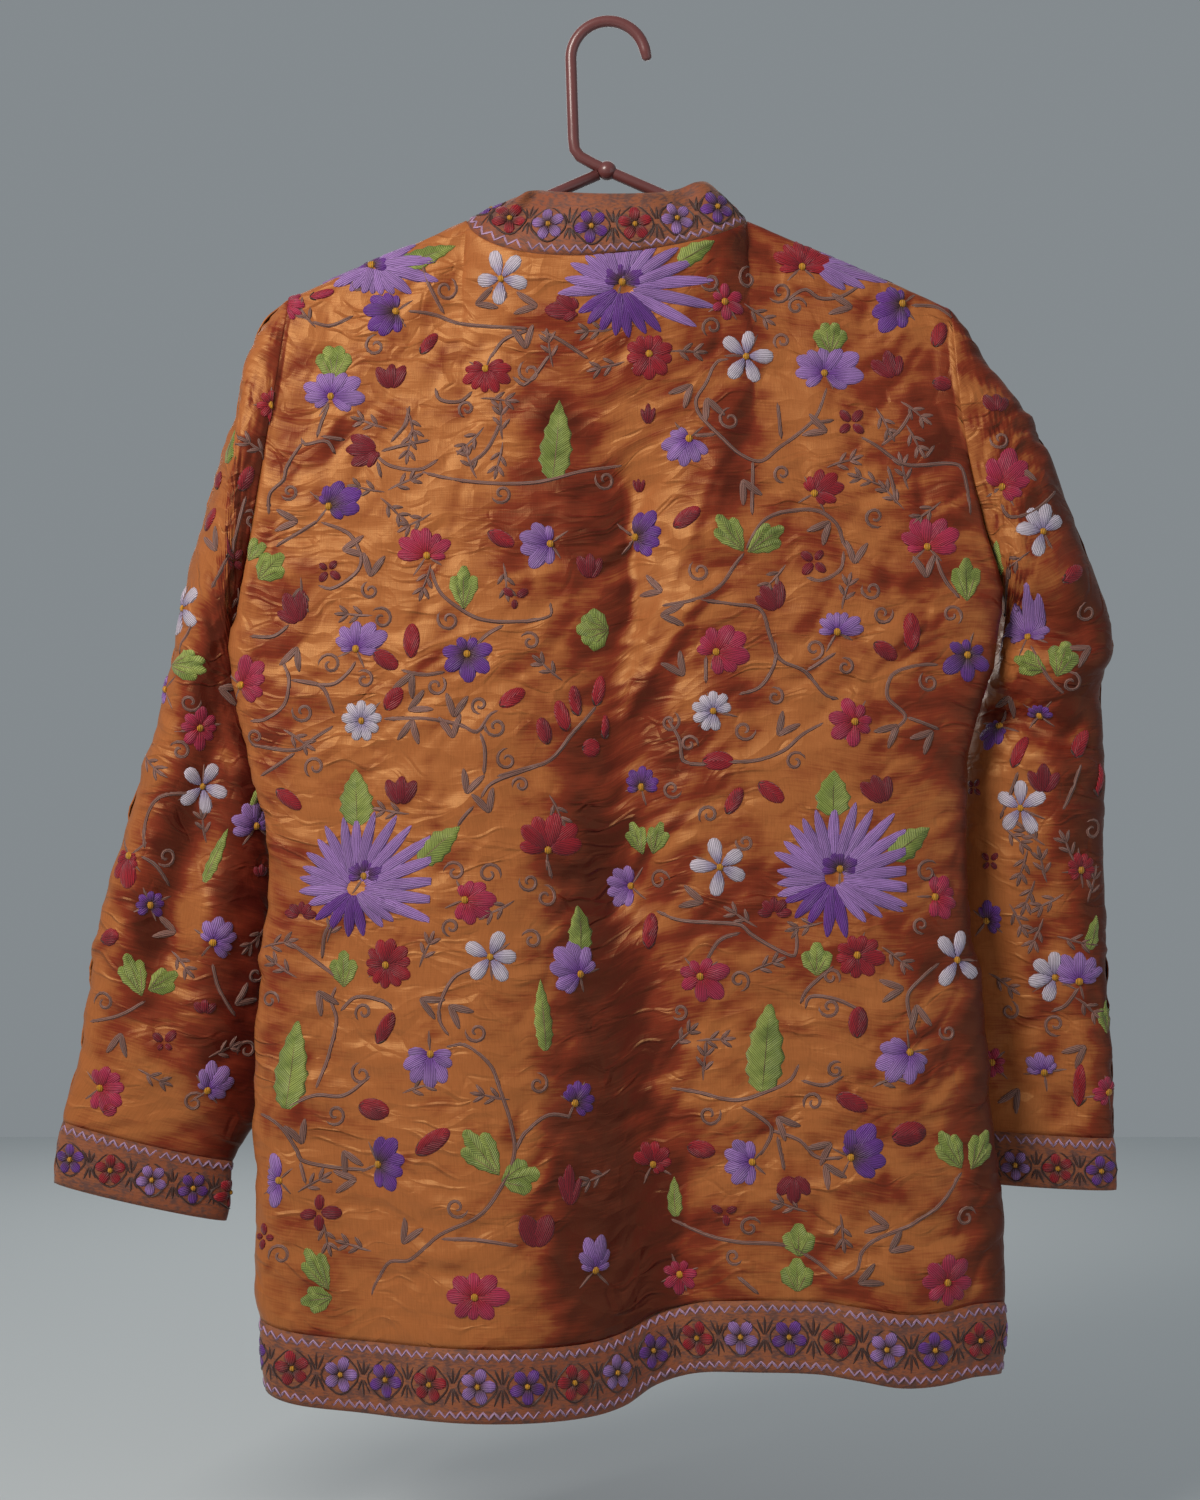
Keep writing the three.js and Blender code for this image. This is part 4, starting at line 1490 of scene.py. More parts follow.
    def run(self, places: np.ndarray, wide: float, rise: float, dye: Dye, lift: float = 0.0) -> None:
        """Works a line of chain stitch along places on the cloth.

        Args:
            places: columns and rows on the panel's grid.
            wide: the line's width in millimetres.
            rise: how full it stands.
            dye: the thread's colour.
            lift: how much higher it lies than its neighbours.
        """
        form = self.panel.form
        a, b = grid_slopes(form, places)
        step = np.gradient(places, axis=0)
        ahead = a * step[:, :1] + b * step[:, 1:]
        length = np.linalg.norm(ahead, axis=1)
        ahead /= np.maximum(length, 1e-6)[:, None]
        aside = np.cross(ahead, grid_value(self.panel.smooth, places))
        aa, ab, bb = (a * a).sum(1), (a * b).sum(1), (b * b).sum(1)
        wa, wb = (a * aside).sum(1), (b * aside).sum(1)
        det = np.maximum(aa * bb - ab * ab, 1e-6)
        offset = np.stack([(wa * bb - wb * ab) / det, (wb * aa - wa * ab) / det], 1)
        along = np.concatenate([[0], np.cumsum((length[1:] + length[:-1]) / 2)])
        taper = np.clip(np.minimum(along, along[-1] - along) / (wide * 0.7), 0, 1) ** 0.5
        flat = np.stack([np.zeros_like(along), along], 1)
        stitch = self.shape(flat, taper * wide / 2, rise, dye, thin=True, lift=lift, tone=0.14)
        across = np.array(self.THIN)[:, 0]
        spots = places[:, None] + offset[:, None] * (taper * wide / 2)[:, None, None] * across[None, :, None]
        self.keep(spots, stitch)

    def keep(self, at: np.ndarray, stitch: Stitch) -> None:
        """Adds a shape that has its places on the panel's grid, without what falls past the panel's edges.

        Args:
            at: columns and rows of the shape's points.
            stitch: the shape.
        """
        rows, columns = self.panel.form.shape[:2]
        point_rows, point_columns = at.shape[:2]
        i, j = at[..., 0].ravel(), at[..., 1].ravel()
        out = (j < 0) | (j > rows - 1)
        if self.panel.closed:
            i = np.mod(i, columns - 1)
        else:
            out |= (i < 0) | (i > columns - 1)
            i = np.clip(i, 0, columns - 1)
        corners = grid_corners(point_rows, point_columns)
        corners = corners[~out[corners].all(1)]
        if not len(corners):
            return
        self.places.append(np.stack([i, np.clip(j, 0, rows - 1)], 1))
        self.heights.append(stitch.height.ravel())
        self.threads.append(stitch.thread.reshape(-1, 2))
        self.colours.append(stitch.colour.reshape(-1, 3))
        self.faces.append(corners + self.count)
        self.count += len(i)

    def build(self, material: bpy.types.Material) -> bpy.types.Object | None:
        """Joins everything that was worked as one mesh.

        Args:
            material: the thread's finish.

        Returns:
            The new object, or None where nothing was worked.
        """
        if not self.count:
            return None
        places, heights = np.concatenate(self.places), np.concatenate(self.heights)
        threads, colours = np.concatenate(self.threads), np.concatenate(self.colours)
        faces = np.concatenate(self.faces)
        normal = grid_value(self.panel.normal, places)
        normal /= np.linalg.norm(normal, axis=1, keepdims=True)
        points = grid_value(self.panel.cloth, places) + normal * heights[:, None]
        diagonal = points[faces[:, 2]] - points[faces[:, 0]], points[faces[:, 3]] - points[faces[:, 1]]
        facing = (np.cross(*diagonal) * normal[faces[:, 0]]).sum(1)
        columns_down = (heights[faces] <= 0).all(1)
        wrong = np.where(columns_down, facing > 0, facing < 0)
        faces[wrong] = faces[wrong][:, ::-1]
        mesh = bpy.data.meshes.new(self.name)
        mesh.from_pydata((points * MM).tolist(), [], faces.tolist())
        layer = mesh.uv_layers.new(name="stitch")
        layer.data.foreach_set("uv", (threads[faces.ravel()] * MM).astype(np.float32).ravel())
        dye = mesh.attributes.new("dye", "FLOAT_COLOR", "POINT")
        opaque = np.concatenate([colours, np.ones((len(colours), 1))], 1)
        dye.data.foreach_set("color", opaque.astype(np.float32).ravel())
        bm = bmesh.new()
        bm.from_mesh(mesh)
        bmesh.ops.remove_doubles(bm, verts=bm.verts[:], dist=0.01 * MM)
        loose = [v for v in bm.verts if not v.link_faces]
        bmesh.ops.delete(bm, geom=loose, context="VERTS")
        bm.to_mesh(mesh)
        bm.free()
        mesh.materials.append(material)
        mesh.shade_smooth()
        obj = bpy.data.objects.new(self.name, mesh)
        bpy.context.collection.objects.link(obj)
        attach(obj, "root")
        LOG.info("%s: %d faces", self.name, len(mesh.polygons))
        return obj


# The design, placed in the photograph's pixels


class Star(NamedTuple):
    """A white flower's eye and the clock directions of its petals."""

    x: float
    y: float
    turns: tuple[float, ...]


class Bloom(NamedTuple):
    """A flower's eye, the box that its petals fill, and the turn, sweep and number of its petals."""

    x: float
    y: float
    x0: float
    x1: float
    y0: float
    y1: float
    turn: float
    sweep: float
    petals: int


class Bud(NamedTuple):
    """A bud in two colours: its middle, its tilt clockwise from upright, its length and its width."""

    x: float
    y: float
    tilt: float
    long: float
    wide: float


class Leaf(NamedTuple):
    """A long leaf from its tip to its base, and its width."""

    tip_x: float
    tip_y: float
    base_x: float
    base_y: float
    wide: float


class Hand(NamedTuple):
    """A leaf with fingers: its middle, the way that it opens, its width, its length and its fingers."""

    x: float
    y: float
    turn: float
    wide: float
    long: float
    fingers: int


@dataclass(frozen=True)
class Bed:
    """Flowers of one kind and colour."""

    dye: Dye
    base: Dye
    shape: Shape
    eyed: bool
    blooms: tuple[Bloom, ...]


@dataclass(frozen=True)
class Design:
    """What is worked on one side of one panel."""

    stars: tuple[Star, ...] = ()
    beds: tuple[Bed, ...] = ()
    buds: tuple[tuple[Dye, tuple[Bud, ...]], ...] = ()
    leaves: tuple[Leaf, ...] = ()
    hands: tuple[Hand, ...] = ()
    spirals: tuple[tuple[float, float], ...] = ()
    stems: tuple[tuple[tuple[float, float], ...], ...] = ()
    cigars: tuple[tuple[float, float], ...] = ()
    sprigs: tuple[tuple[float, float], ...] = ()


def bloom_beds(
    lilac: Sequence[Bloom],
    violet: Sequence[Bloom],
    red: Sequence[Bloom],
    pink: Sequence[Bloom],
    garnet: Sequence[Bloom],
    rays: Sequence[Bloom] = (),
    violet_rays: Sequence[Bloom] = (),
) -> tuple[Bed, ...]:
    """Sorts flowers into beds by colour.

    Args:
        lilac: lilac flowers.
        violet: violet flowers.
        red: red flowers.
        pink: pink flowers.
        garnet: dark red tulips and small flowers without an eye.
        rays: long lilac rays.
        violet_rays: long violet rays.

    Returns:
        The beds.
    """
    return (
        Bed(Dye.LILAC, Dye.LILAC, Shape.RAY, False, tuple(rays)),
        Bed(Dye.VIOLET, Dye.VIOLET, Shape.RAY, False, tuple(violet_rays)),
        Bed(Dye.LILAC, Dye.VIOLET, Shape.ROUND, True, tuple(lilac)),
        Bed(Dye.VIOLET, Dye.UMBER, Shape.ROUND, True, tuple(violet)),
        Bed(Dye.RED, Dye.GARNET, Shape.ROUND, True, tuple(red)),
        Bed(Dye.PINK, Dye.RED, Shape.ROUND, True, tuple(pink)),
        Bed(Dye.GARNET, Dye.GARNET, Shape.POINTED, False, tuple(garnet)),
    )


BACK_DESIGN = Design(
    stars=(
        Star(502, 279, (-16, 42, 104, 190, 268)),
        Star(745, 357, (9, 90, 156, 217, 309)),
        Star(720, 867, (-14, 54, 114, 189, 274)),
        Star(490, 957, (25, 90, 147, 220, 298)),
        Star(956, 960, (-38, 15, 130, 215)),
        Star(362, 721, (0, 40, 80, 120, 160, 200, 240, 280, 320)),
        Star(713, 711, (0, 38, 76, 170, 205, 245, 285, 322)),
    ),
    beds=bloom_beds(
        lilac=(
            Bloom(331, 397, 302, 369, 370, 413, 0, 280, 9), Bloom(824, 374, 792, 864, 346, 392, 0, 280, 9),
            Bloom(356, 649, 335, 387, 620, 657, 0, 220, 7), Bloom(837, 632, 816, 865, 611, 640, 0, 200, 7),
            Bloom(550, 544, 520, 556, 521, 569, 270, 200, 6),
            Bloom(689, 439, 661, 709, 427, 467, 225, 220, 7),
            Bloom(431, 1054, 404, 454, 1040, 1086, 180, 220, 7),
            Bloom(909, 1052, 876, 925, 1037, 1087, 215, 220, 7),
            Bloom(579, 974, 545, 596, 940, 992, 315, 230, 7),
            Bloom(631, 886, 607, 639, 865, 910, 270, 200, 6),
            Bloom(280, 1180, 267, 286, 1150, 1209, 270, 180, 6),
            Bloom(752, 1162, 724, 759, 1139, 1187, 270, 200, 6),
            Bloom(594, 1270, 577, 611, 1234, 1279, 0, 170, 6),
        ),
        violet=(
            Bloom(396, 312, 364, 407, 292, 338, 270, 220, 7),
            Bloom(902, 304, 870, 910, 287, 335, 250, 230, 7),
            Bloom(329, 507, 320, 363, 480, 520, 45, 200, 6), Bloom(635, 537, 632, 664, 509, 557, 90, 190, 6),
            Bloom(467, 654, 441, 495, 637, 682, 0, 360, 7), Bloom(967, 655, 940, 990, 639, 682, 0, 360, 6),
            Bloom(642, 787, 625, 660, 766, 797, 0, 230, 7),
            Bloom(574, 1103, 560, 596, 1082, 1117, 45, 220, 7),
            Bloom(379, 1164, 370, 407, 1136, 1190, 90, 200, 6),
            Bloom(851, 1157, 844, 885, 1124, 1180, 50, 200, 6),
            Bloom(365, 876, 345, 387, 856, 886, 0, 220, 7), Bloom(840, 869, 818, 862, 848, 880, 0, 220, 7),
            Bloom(622, 282, 598, 646, 258, 290, 0, 200, 7), Bloom(372, 266, 356, 390, 252, 272, 0, 220, 6),
        ),
        red=(
            Bloom(486, 369, 462, 515, 358, 395, 180, 260, 9), Bloom(649, 354, 625, 674, 334, 379, 0, 360, 10),
            Bloom(802, 267, 771, 835, 240, 276, 0, 220, 8), Bloom(547, 850, 515, 584, 815, 859, 0, 190, 6),
            Bloom(386, 965, 366, 414, 939, 989, 0, 360, 11), Bloom(857, 955, 836, 884, 934, 980, 0, 360, 9),
            Bloom(814, 494, 804, 844, 469, 505, 45, 210, 7),
            Bloom(653, 1164, 632, 672, 1140, 1175, 45, 240, 7),
        ),
        pink=(
            Bloom(724, 302, 710, 745, 283, 322, 0, 360, 6), Bloom(427, 556, 395, 451, 529, 566, 0, 210, 7),
            Bloom(927, 547, 900, 962, 517, 556, 0, 220, 7), Bloom(716, 652, 696, 749, 626, 675, 45, 290, 8),
            Bloom(854, 722, 827, 871, 699, 749, 0, 360, 7), Bloom(465, 900, 452, 495, 881, 924, 90, 250, 7),
            Bloom(934, 897, 924, 956, 874, 921, 90, 220, 6), Bloom(701, 976, 679, 734, 957, 1002, 0, 360, 7),
            Bloom(475, 1297, 446, 509, 1272, 1320, 0, 360, 8),
            Bloom(946, 1282, 919, 974, 1254, 1305, 0, 360, 8),
            Bloom(680, 1274, 661, 699, 1259, 1295, 0, 360, 7),
            Bloom(243, 685, 236, 268, 656, 705, 60, 200, 6),
            Bloom(284, 306, 268, 302, 286, 320, 60, 240, 7),
        ),
        garnet=(
            Bloom(391, 390, 371, 412, 363, 392, 0, 90, 3), Bloom(895, 379, 870, 906, 349, 381, 340, 90, 3),
            Bloom(648, 426, 640, 657, 402, 427, 0, 60, 3), Bloom(639, 494, 629, 649, 479, 495, 0, 70, 3),
            Bloom(300, 624, 277, 315, 591, 626, 330, 90, 3), Bloom(590, 580, 569, 610, 554, 581, 0, 90, 3),
            Bloom(778, 611, 756, 792, 579, 613, 330, 90, 3), Bloom(401, 806, 382, 420, 775, 807, 0, 90, 3),
            Bloom(884, 804, 859, 897, 774, 806, 340, 90, 3), Bloom(569, 1207, 557, 582, 1167, 1208, 0, 60, 3),
            Bloom(794, 1175, 775, 812, 1174, 1202, 180, 120, 3),
            Bloom(536, 1249, 519, 556, 1211, 1250, 0, 80, 2),
            Bloom(851, 424, 835, 866, 406, 441, 45, 360, 4), Bloom(329, 571, 316, 344, 559, 585, 45, 360, 4),
            Bloom(814, 562, 797, 829, 547, 579, 45, 360, 4), Bloom(515, 598, 500, 531, 585, 610, 0, 360, 3),
            Bloom(726, 1212, 711, 740, 1199, 1225, 0, 360, 3),
            Bloom(319, 1212, 299, 342, 1194, 1230, 0, 360, 4),
            Bloom(578, 311, 545, 580, 295, 320, 270, 170, 5), Bloom(301, 916, 285, 317, 901, 927, 0, 200, 5),
            Bloom(774, 914, 757, 791, 897, 924, 0, 200, 5), Bloom(378, 450, 346, 380, 431, 469, 240, 150, 5),
            Bloom(265, 1237, 254, 276, 1222, 1250, 0, 360, 4),
        ),
        rays=(
            Bloom(355, 889, 301, 449, 812, 948, 2, 232, 17), Bloom(355, 889, 301, 440, 830, 926, 128, 44, 3),
            Bloom(832, 879, 775, 921, 806, 938, 2, 232, 17), Bloom(832, 879, 775, 925, 830, 922, 128, 44, 3),
            Bloom(621, 287, 562, 716, 240, 340, 10, 230, 15), Bloom(374, 266, 300, 443, 235, 294, 0, 360, 18),
            Bloom(812, 262, 770, 905, 236, 292, 90, 100, 7),
        ),
        violet_rays=(
            Bloom(355, 889, 306, 420, 840, 938, 200, 84, 4), Bloom(832, 879, 780, 900, 830, 934, 205, 96, 5),
            Bloom(621, 287, 572, 690, 250, 336, 188, 120, 7),
        ),
    ),
    buds=(
        (
            Dye.GARNET,
            (
                Bud(429, 344, 37, 27, 12), Bud(939, 335, 20, 27, 15), Bud(942, 384, 100, 20, 15),
                Bud(501, 539, 118, 30, 15), Bud(687, 518, 55, 32, 16), Bud(386, 660, 125, 30, 16),
                Bud(544, 731, -15, 28, 14), Bud(575, 701, -8, 31, 12), Bud(604, 727, 0, 24, 8),
                Bud(885, 651, 125, 28, 15), Bud(734, 801, 30, 30, 14), Bud(386, 1028, 30, 36, 14),
                Bud(858, 1022, 5, 31, 18), Bud(651, 931, 5, 36, 15), Bud(375, 1109, 100, 33, 20),
                Bud(433, 1142, 55, 42, 18), Bud(852, 1102, 113, 33, 16), Bud(909, 1134, 80, 35, 23),
                Bud(702, 1149, 95, 30, 17),
            ),
        ),
        (
            Dye.RED,
            (
                Bud(412, 641, 0, 35, 16), Bud(394, 699, 35, 27, 16), Bud(512, 698, 57, 30, 15),
                Bud(562, 716, -15, 32, 14), Bud(598, 691, 12, 31, 12), Bud(591, 748, 90, 19, 18),
                Bud(911, 632, 0, 39, 17), Bud(718, 761, 90, 31, 18), Bud(771, 792, 127, 31, 16),
                Bud(289, 799, 128, 32, 14),
            ),
        ),
        (Dye.PINK, (Bud(322, 294, 75, 26, 9),)),
    ),
    leaves=(
        Leaf(560, 400, 552, 480, 34), Leaf(298, 1020, 287, 1109, 35), Leaf(770, 1002, 762, 1092, 40),
        Leaf(541, 981, 545, 1051, 20), Leaf(675, 1176, 677, 1216, 17), Leaf(356, 770, 358, 826, 37),
        Leaf(834, 771, 833, 816, 37), Leaf(459, 827, 420, 862, 30), Leaf(930, 828, 890, 858, 30),
        Leaf(580, 906, 580, 952, 29), Leaf(456, 246, 396, 270, 24), Leaf(715, 240, 678, 262, 22),
    ),
    hands=(
        Hand(334, 362, 0, 40, 38, 4), Hand(830, 338, 0, 38, 35, 4), Hand(271, 567, 45, 31, 35, 3),
        Hand(464, 588, 0, 26, 43, 3), Hand(592, 630, 270, 57, 34, 5), Hand(966, 580, 0, 28, 43, 3),
        Hand(344, 969, 0, 26, 36, 3), Hand(817, 959, 0, 30, 33, 3), Hand(730, 534, 325, 26, 44, 3),
        Hand(765, 540, 55, 26, 44, 3), Hand(638, 838, 340, 21, 34, 3), Hand(658, 838, 20, 21, 34, 3),
        Hand(482, 1153, 322, 32, 54, 3), Hand(520, 1177, 80, 34, 38, 3), Hand(950, 1150, 330, 26, 42, 3),
        Hand(978, 1150, 30, 26, 42, 3), Hand(318, 1269, 330, 24, 46, 3), Hand(317, 1299, 260, 26, 32, 3),
        Hand(799, 1240, 0, 33, 33, 3), Hand(797, 1275, 0, 33, 33, 3), Hand(256, 548, 30, 14, 30, 2),
    ),
    spirals=(
        (359, 285), (446, 290), (376, 347), (530, 372), (467, 409), (290, 492), (502, 494), (605, 480),
        (746, 279), (710, 282), (712, 327), (780, 292), (796, 307), (857, 267), (782, 342), (730, 420),
        (782, 474), (875, 517), (371, 591), (382, 619), (449, 620), (530, 642), (331, 665), (365, 680),
        (436, 686), (480, 705), (496, 727), (304, 712), (257, 737), (316, 767), (507, 760), (521, 785),
        (700, 571), (814, 649), (845, 667), (872, 590), (882, 614), (775, 697), (951, 615), (929, 682),
        (670, 722), (689, 744), (744, 730), (795, 762), (672, 789), (709, 815), (745, 842), (661, 880),
        (920, 925), (927, 872), (455, 872), (489, 874), (529, 882), (545, 897), (452, 927), (531, 940),
        (739, 980), (831, 977), (830, 1007), (681, 1011), (271, 1000), (365, 1012), (477, 1032), (947, 1032),
        (336, 1114), (362, 1074), (537, 1084), (836, 1070), (814, 1102), (710, 1114), (457, 1207),
        (281, 1255),
        (734, 1256), (750, 1227), (965, 1217),
    ),
    stems=(
        ((310, 322), (330, 326), (355, 316)), ((406, 312), (435, 315), (460, 324), (530, 329)),
        ((422, 255), (425, 275), (435, 297), (445, 315)), ((530, 330), (505, 340), (490, 360)),
        ((540, 331), (560, 340), (590, 360)), ((330, 402), (321, 425), (317, 440)),
        ((301, 437), (305, 445), (327, 442), (336, 455)),
        ((304, 442), (287, 467), (284, 480), (270, 495), (269, 517)), ((320, 437), (346, 440)),
        ((380, 452), (400, 447), (432, 440)), ((390, 444), (405, 425), (410, 405)),
        ((375, 455), (390, 466), (420, 470), (440, 459)),
        ((420, 472), (455, 480), (500, 484), (540, 482), (580, 472), (625, 465)), ((377, 460), (382, 480)),
        ((465, 467), (485, 452), (502, 422)), ((474, 391), (460, 402), (440, 400), (435, 387)),
        ((512, 376), (525, 385), (551, 354)), ((785, 302), (805, 290), (820, 299), (842, 297), (862, 284)),
        ((910, 305), (935, 307), (956, 320)),
        (
            (731, 359), (717, 362), (705, 385), (696, 400), (700, 415), (720, 437), (740, 455), (760, 462),
            (780, 447), (807, 427), (817, 415), (827, 387),
        ),
        ((692, 436), (717, 435)), ((782, 440), (777, 402)), ((810, 425), (835, 421)),
        ((860, 437), (877, 447), (905, 465), (957, 465), (965, 480), (970, 517)),
        ((880, 447), (900, 430), (912, 410)), ((924, 460), (935, 445)), ((887, 465), (894, 490), (895, 505)),
        ((752, 460), (752, 517)), ((320, 520), (300, 532), (275, 547)),
        ((320, 522), (350, 535), (362, 560), (355, 575), (332, 589), (317, 585)),
        ((430, 566), (440, 592), (457, 607), (482, 620), (520, 622), (550, 616), (550, 602)),
        ((505, 625), (487, 635), (475, 647)), ((357, 660), (350, 672), (332, 685), (290, 680)),
        ((282, 660), (290, 680), (285, 705), (265, 720), (250, 721)), ((290, 680), (322, 687), (335, 715)),
        ((250, 637), (275, 637), (291, 624)), ((335, 725), (317, 737), (297, 750), (250, 745)),
        ((297, 752), (275, 767), (260, 777)), ((400, 670), (422, 675), (447, 672)),
        ((382, 719), (425, 719), (460, 725), (477, 732), (490, 715), (500, 710)),
        ((480, 732), (485, 750), (484, 777)),
        ((495, 777), (520, 770), (550, 760), (575, 730), (597, 705)),
        ((745, 552), (737, 562), (720, 586), (697, 600), (662, 607)),
        ((745, 552), (752, 537), (765, 520), (785, 512), (817, 511), (837, 525), (845, 545), (860, 565)),
        ((844, 550), (840, 570), (820, 581), (805, 577)),
        ((697, 600), (735, 605), (760, 610), (770, 637), (780, 660), (805, 672), (825, 695), (840, 700)),
        ((775, 640), (775, 662), (760, 687), (737, 695)), ((805, 672), (825, 660), (837, 652)),
        ((935, 555), (942, 575), (960, 600)),
        ((940, 665), (920, 665), (892, 675), (887, 697), (905, 717), (887, 735)), ((905, 717), (940, 730)),
        ((825, 722), (802, 735), (785, 750), (760, 760), (735, 762), (685, 762), (680, 740), (667, 717)),
        ((706, 655), (706, 685)), ((475, 805), (462, 820), (457, 828)),
        ((480, 800), (490, 785), (520, 772), (550, 762)), ((545, 857), (552, 880)),
        ((322, 960), (325, 935), (332, 922)), ((290, 942), (310, 957), (342, 980)),
        ((337, 985), (332, 1000), (337, 1020), (330, 1052), (316, 1090)),
        ((340, 1012), (357, 997), (385, 1002), (395, 1012)),
        ((475, 967), (455, 977), (442, 1000), (440, 1020), (450, 1037)), ((706, 962), (720, 940), (742, 932)),
        (
            (655, 910), (680, 920), (740, 925), (752, 935), (782, 952), (795, 955), (796, 930), (790, 920),
        ),
        ((800, 1005), (807, 990), (835, 965)), ((805, 1010), (810, 997), (835, 999), (860, 1010)),
        ((940, 962), (922, 977), (907, 997), (915, 1037)),
        ((287, 1107), (315, 1095), (345, 1095), (372, 1075)),
        ((260, 1112), (280, 1125), (297, 1150), (302, 1160), (332, 1167), (370, 1170)),
        ((300, 1160), (307, 1185)),
        (
            (445, 1047), (465, 1045), (490, 1065), (500, 1090), (512, 1130), (514, 1155), (502, 1185),
            (480, 1215), (440, 1235), (410, 1260), (390, 1262), (375, 1285), (372, 1297),
        ),
        ((440, 1239), (475, 1240), (520, 1246)), ((515, 1152), (525, 1132), (547, 1115), (572, 1117)),
        ((670, 1087), (700, 1092), (735, 1100), (765, 1092), (790, 1080), (800, 1062)),
        ((800, 1080), (825, 1085), (845, 1075)), ((740, 1105), (760, 1117), (772, 1130), (760, 1157)),
        ((770, 1130), (800, 1140), (817, 1157), (845, 1157)), ((777, 1135), (785, 1172)),
        ((670, 1217), (710, 1235), (740, 1242), (785, 1245), (810, 1257), (840, 1280)),
        ((737, 1275), (760, 1295)),
        (
            (962, 1170), (940, 1202), (910, 1225), (875, 1240), (862, 1252), (857, 1270), (842, 1280),
        ),
    ),
    cigars=(
        (482, 302), (531, 305), (525, 342), (291, 521), (350, 549), (372, 570), (295, 654), (410, 680),
        (412, 727), (415, 707), (455, 710), (452, 731), (469, 787), (487, 806), (427, 1002), (455, 1010),
        (322, 997), (347, 1157), (350, 1180), (300, 1137), (407, 1237), (687, 390), (709, 405), (820, 430),
        (845, 307), (745, 487), (657, 590), (670, 616), (825, 527), (855, 557), (680, 670), (782, 730),
        (892, 730), (927, 736), (925, 571), (697, 900), (896, 989), (917, 1012), (782, 1122), (826, 1147),
        (829, 1170), (882, 1225), (895, 1247), (865, 1280),
    ),
    sprigs=(
        (308, 318), (375, 425), (410, 420), (410, 440), (372, 490), (400, 485), (390, 507), (475, 437),
        (502, 427), (500, 455), (472, 467), (494, 400), (551, 354), (600, 330), (612, 365), (682, 352),
        (754, 312), (882, 420), (911, 410), (912, 437), (872, 482), (905, 477), (895, 500), (839, 464),
        (420, 520), (301, 591), (427, 577), (505, 577), (552, 672), (360, 615), (295, 737), (777, 575),
        (845, 597), (930, 510), (555, 807), (397, 812), (502, 907), (425, 955), (892, 955), (287, 970),
        (275, 945), (332, 930), (746, 920), (762, 967), (810, 925), (310, 1185), (325, 1231), (360, 1247),
        (415, 1089), (885, 1082), (681, 1040), (710, 1040), (705, 1067), (496, 1097), (597, 1175),
        (842, 1227), (795, 1207),
    ),
)
LEFT_DESIGN = Design(
    stars=(Star(202, 786, (-45, 32, 107, 168, 232)), Star(186, 609, (-30, 45, 130, 200))),
    beds=bloom_beds(
        lilac=(
            Bloom(168, 690, 158, 186, 674, 706, 270, 200, 6), Bloom(256, 826, 230, 270, 802, 846, 0, 240, 7),
            Bloom(213, 942, 202, 235, 915, 959, 45, 220, 7),
            Bloom(207, 1090, 197, 234, 1060, 1100, 45, 220, 7),
        ),
        violet=(Bloom(150, 905, 136, 166, 890, 922, 0, 300, 7),),
        red=(
            Bloom(131, 856, 114, 140, 844, 890, 180, 240, 7),
            Bloom(272, 405, 256, 286, 390, 420, 0, 360, 8),
        ),
        pink=(
            Bloom(200, 728, 181, 217, 706, 751, 0, 360, 8),
            Bloom(100, 1088, 89, 125, 1064, 1116, 90, 240, 7),
        ),
        garnet=(
            Bloom(204, 1014, 192, 216, 998, 1022, 0, 120, 3),
            Bloom(164, 1043, 152, 178, 1026, 1052, 45, 360, 4),
            Bloom(260, 878, 250, 270, 864, 884, 0, 100, 3), Bloom(232, 560, 220, 246, 545, 575, 45, 360, 4),
        ),
    ),
    buds=(
        (Dye.GARNET, (Bud(221, 481, -5, 20, 12), Bud(246, 479, 25, 27, 13), Bud(111, 937, 70, 21, 17))),
        (Dye.RED, (Bud(212, 520, 35, 27, 14), Bud(232, 640, 20, 26, 13))),
        (Dye.PINK, (Bud(110, 1109, 80, 16, 14),)),
    ),
    leaves=(Leaf(225, 827, 205, 883, 14), Leaf(258, 786, 252, 808, 10), Leaf(236, 430, 230, 465, 20)),
    hands=(Hand(187, 665, 90, 33, 40, 4), Hand(134, 975, 340, 24, 45, 3), Hand(163, 982, 60, 26, 34, 3)),
    spirals=(
        (190, 702), (180, 751), (166, 856), (105, 1002), (254, 974), (247, 1050), (194, 1102), (252, 520),
    ),
    stems=(
        ((140, 855), (155, 865), (170, 887)), ((200, 792), (160, 797), (146, 820), (145, 850)),
        ((147, 1000), (120, 1015), (90, 1022)), ((212, 962), (220, 992), (235, 1017)),
        ((246, 495), (236, 530), (226, 560), (212, 590)), ((196, 620), (186, 640), (180, 655)),
    ),
    cigars=((120, 1040), (170, 930), (240, 1000), (215, 545), (225, 690)),
    sprigs=((151, 762), (220, 1052), (257, 935), (150, 1075), (260, 450), (180, 960), (205, 830), (238, 600)),
)
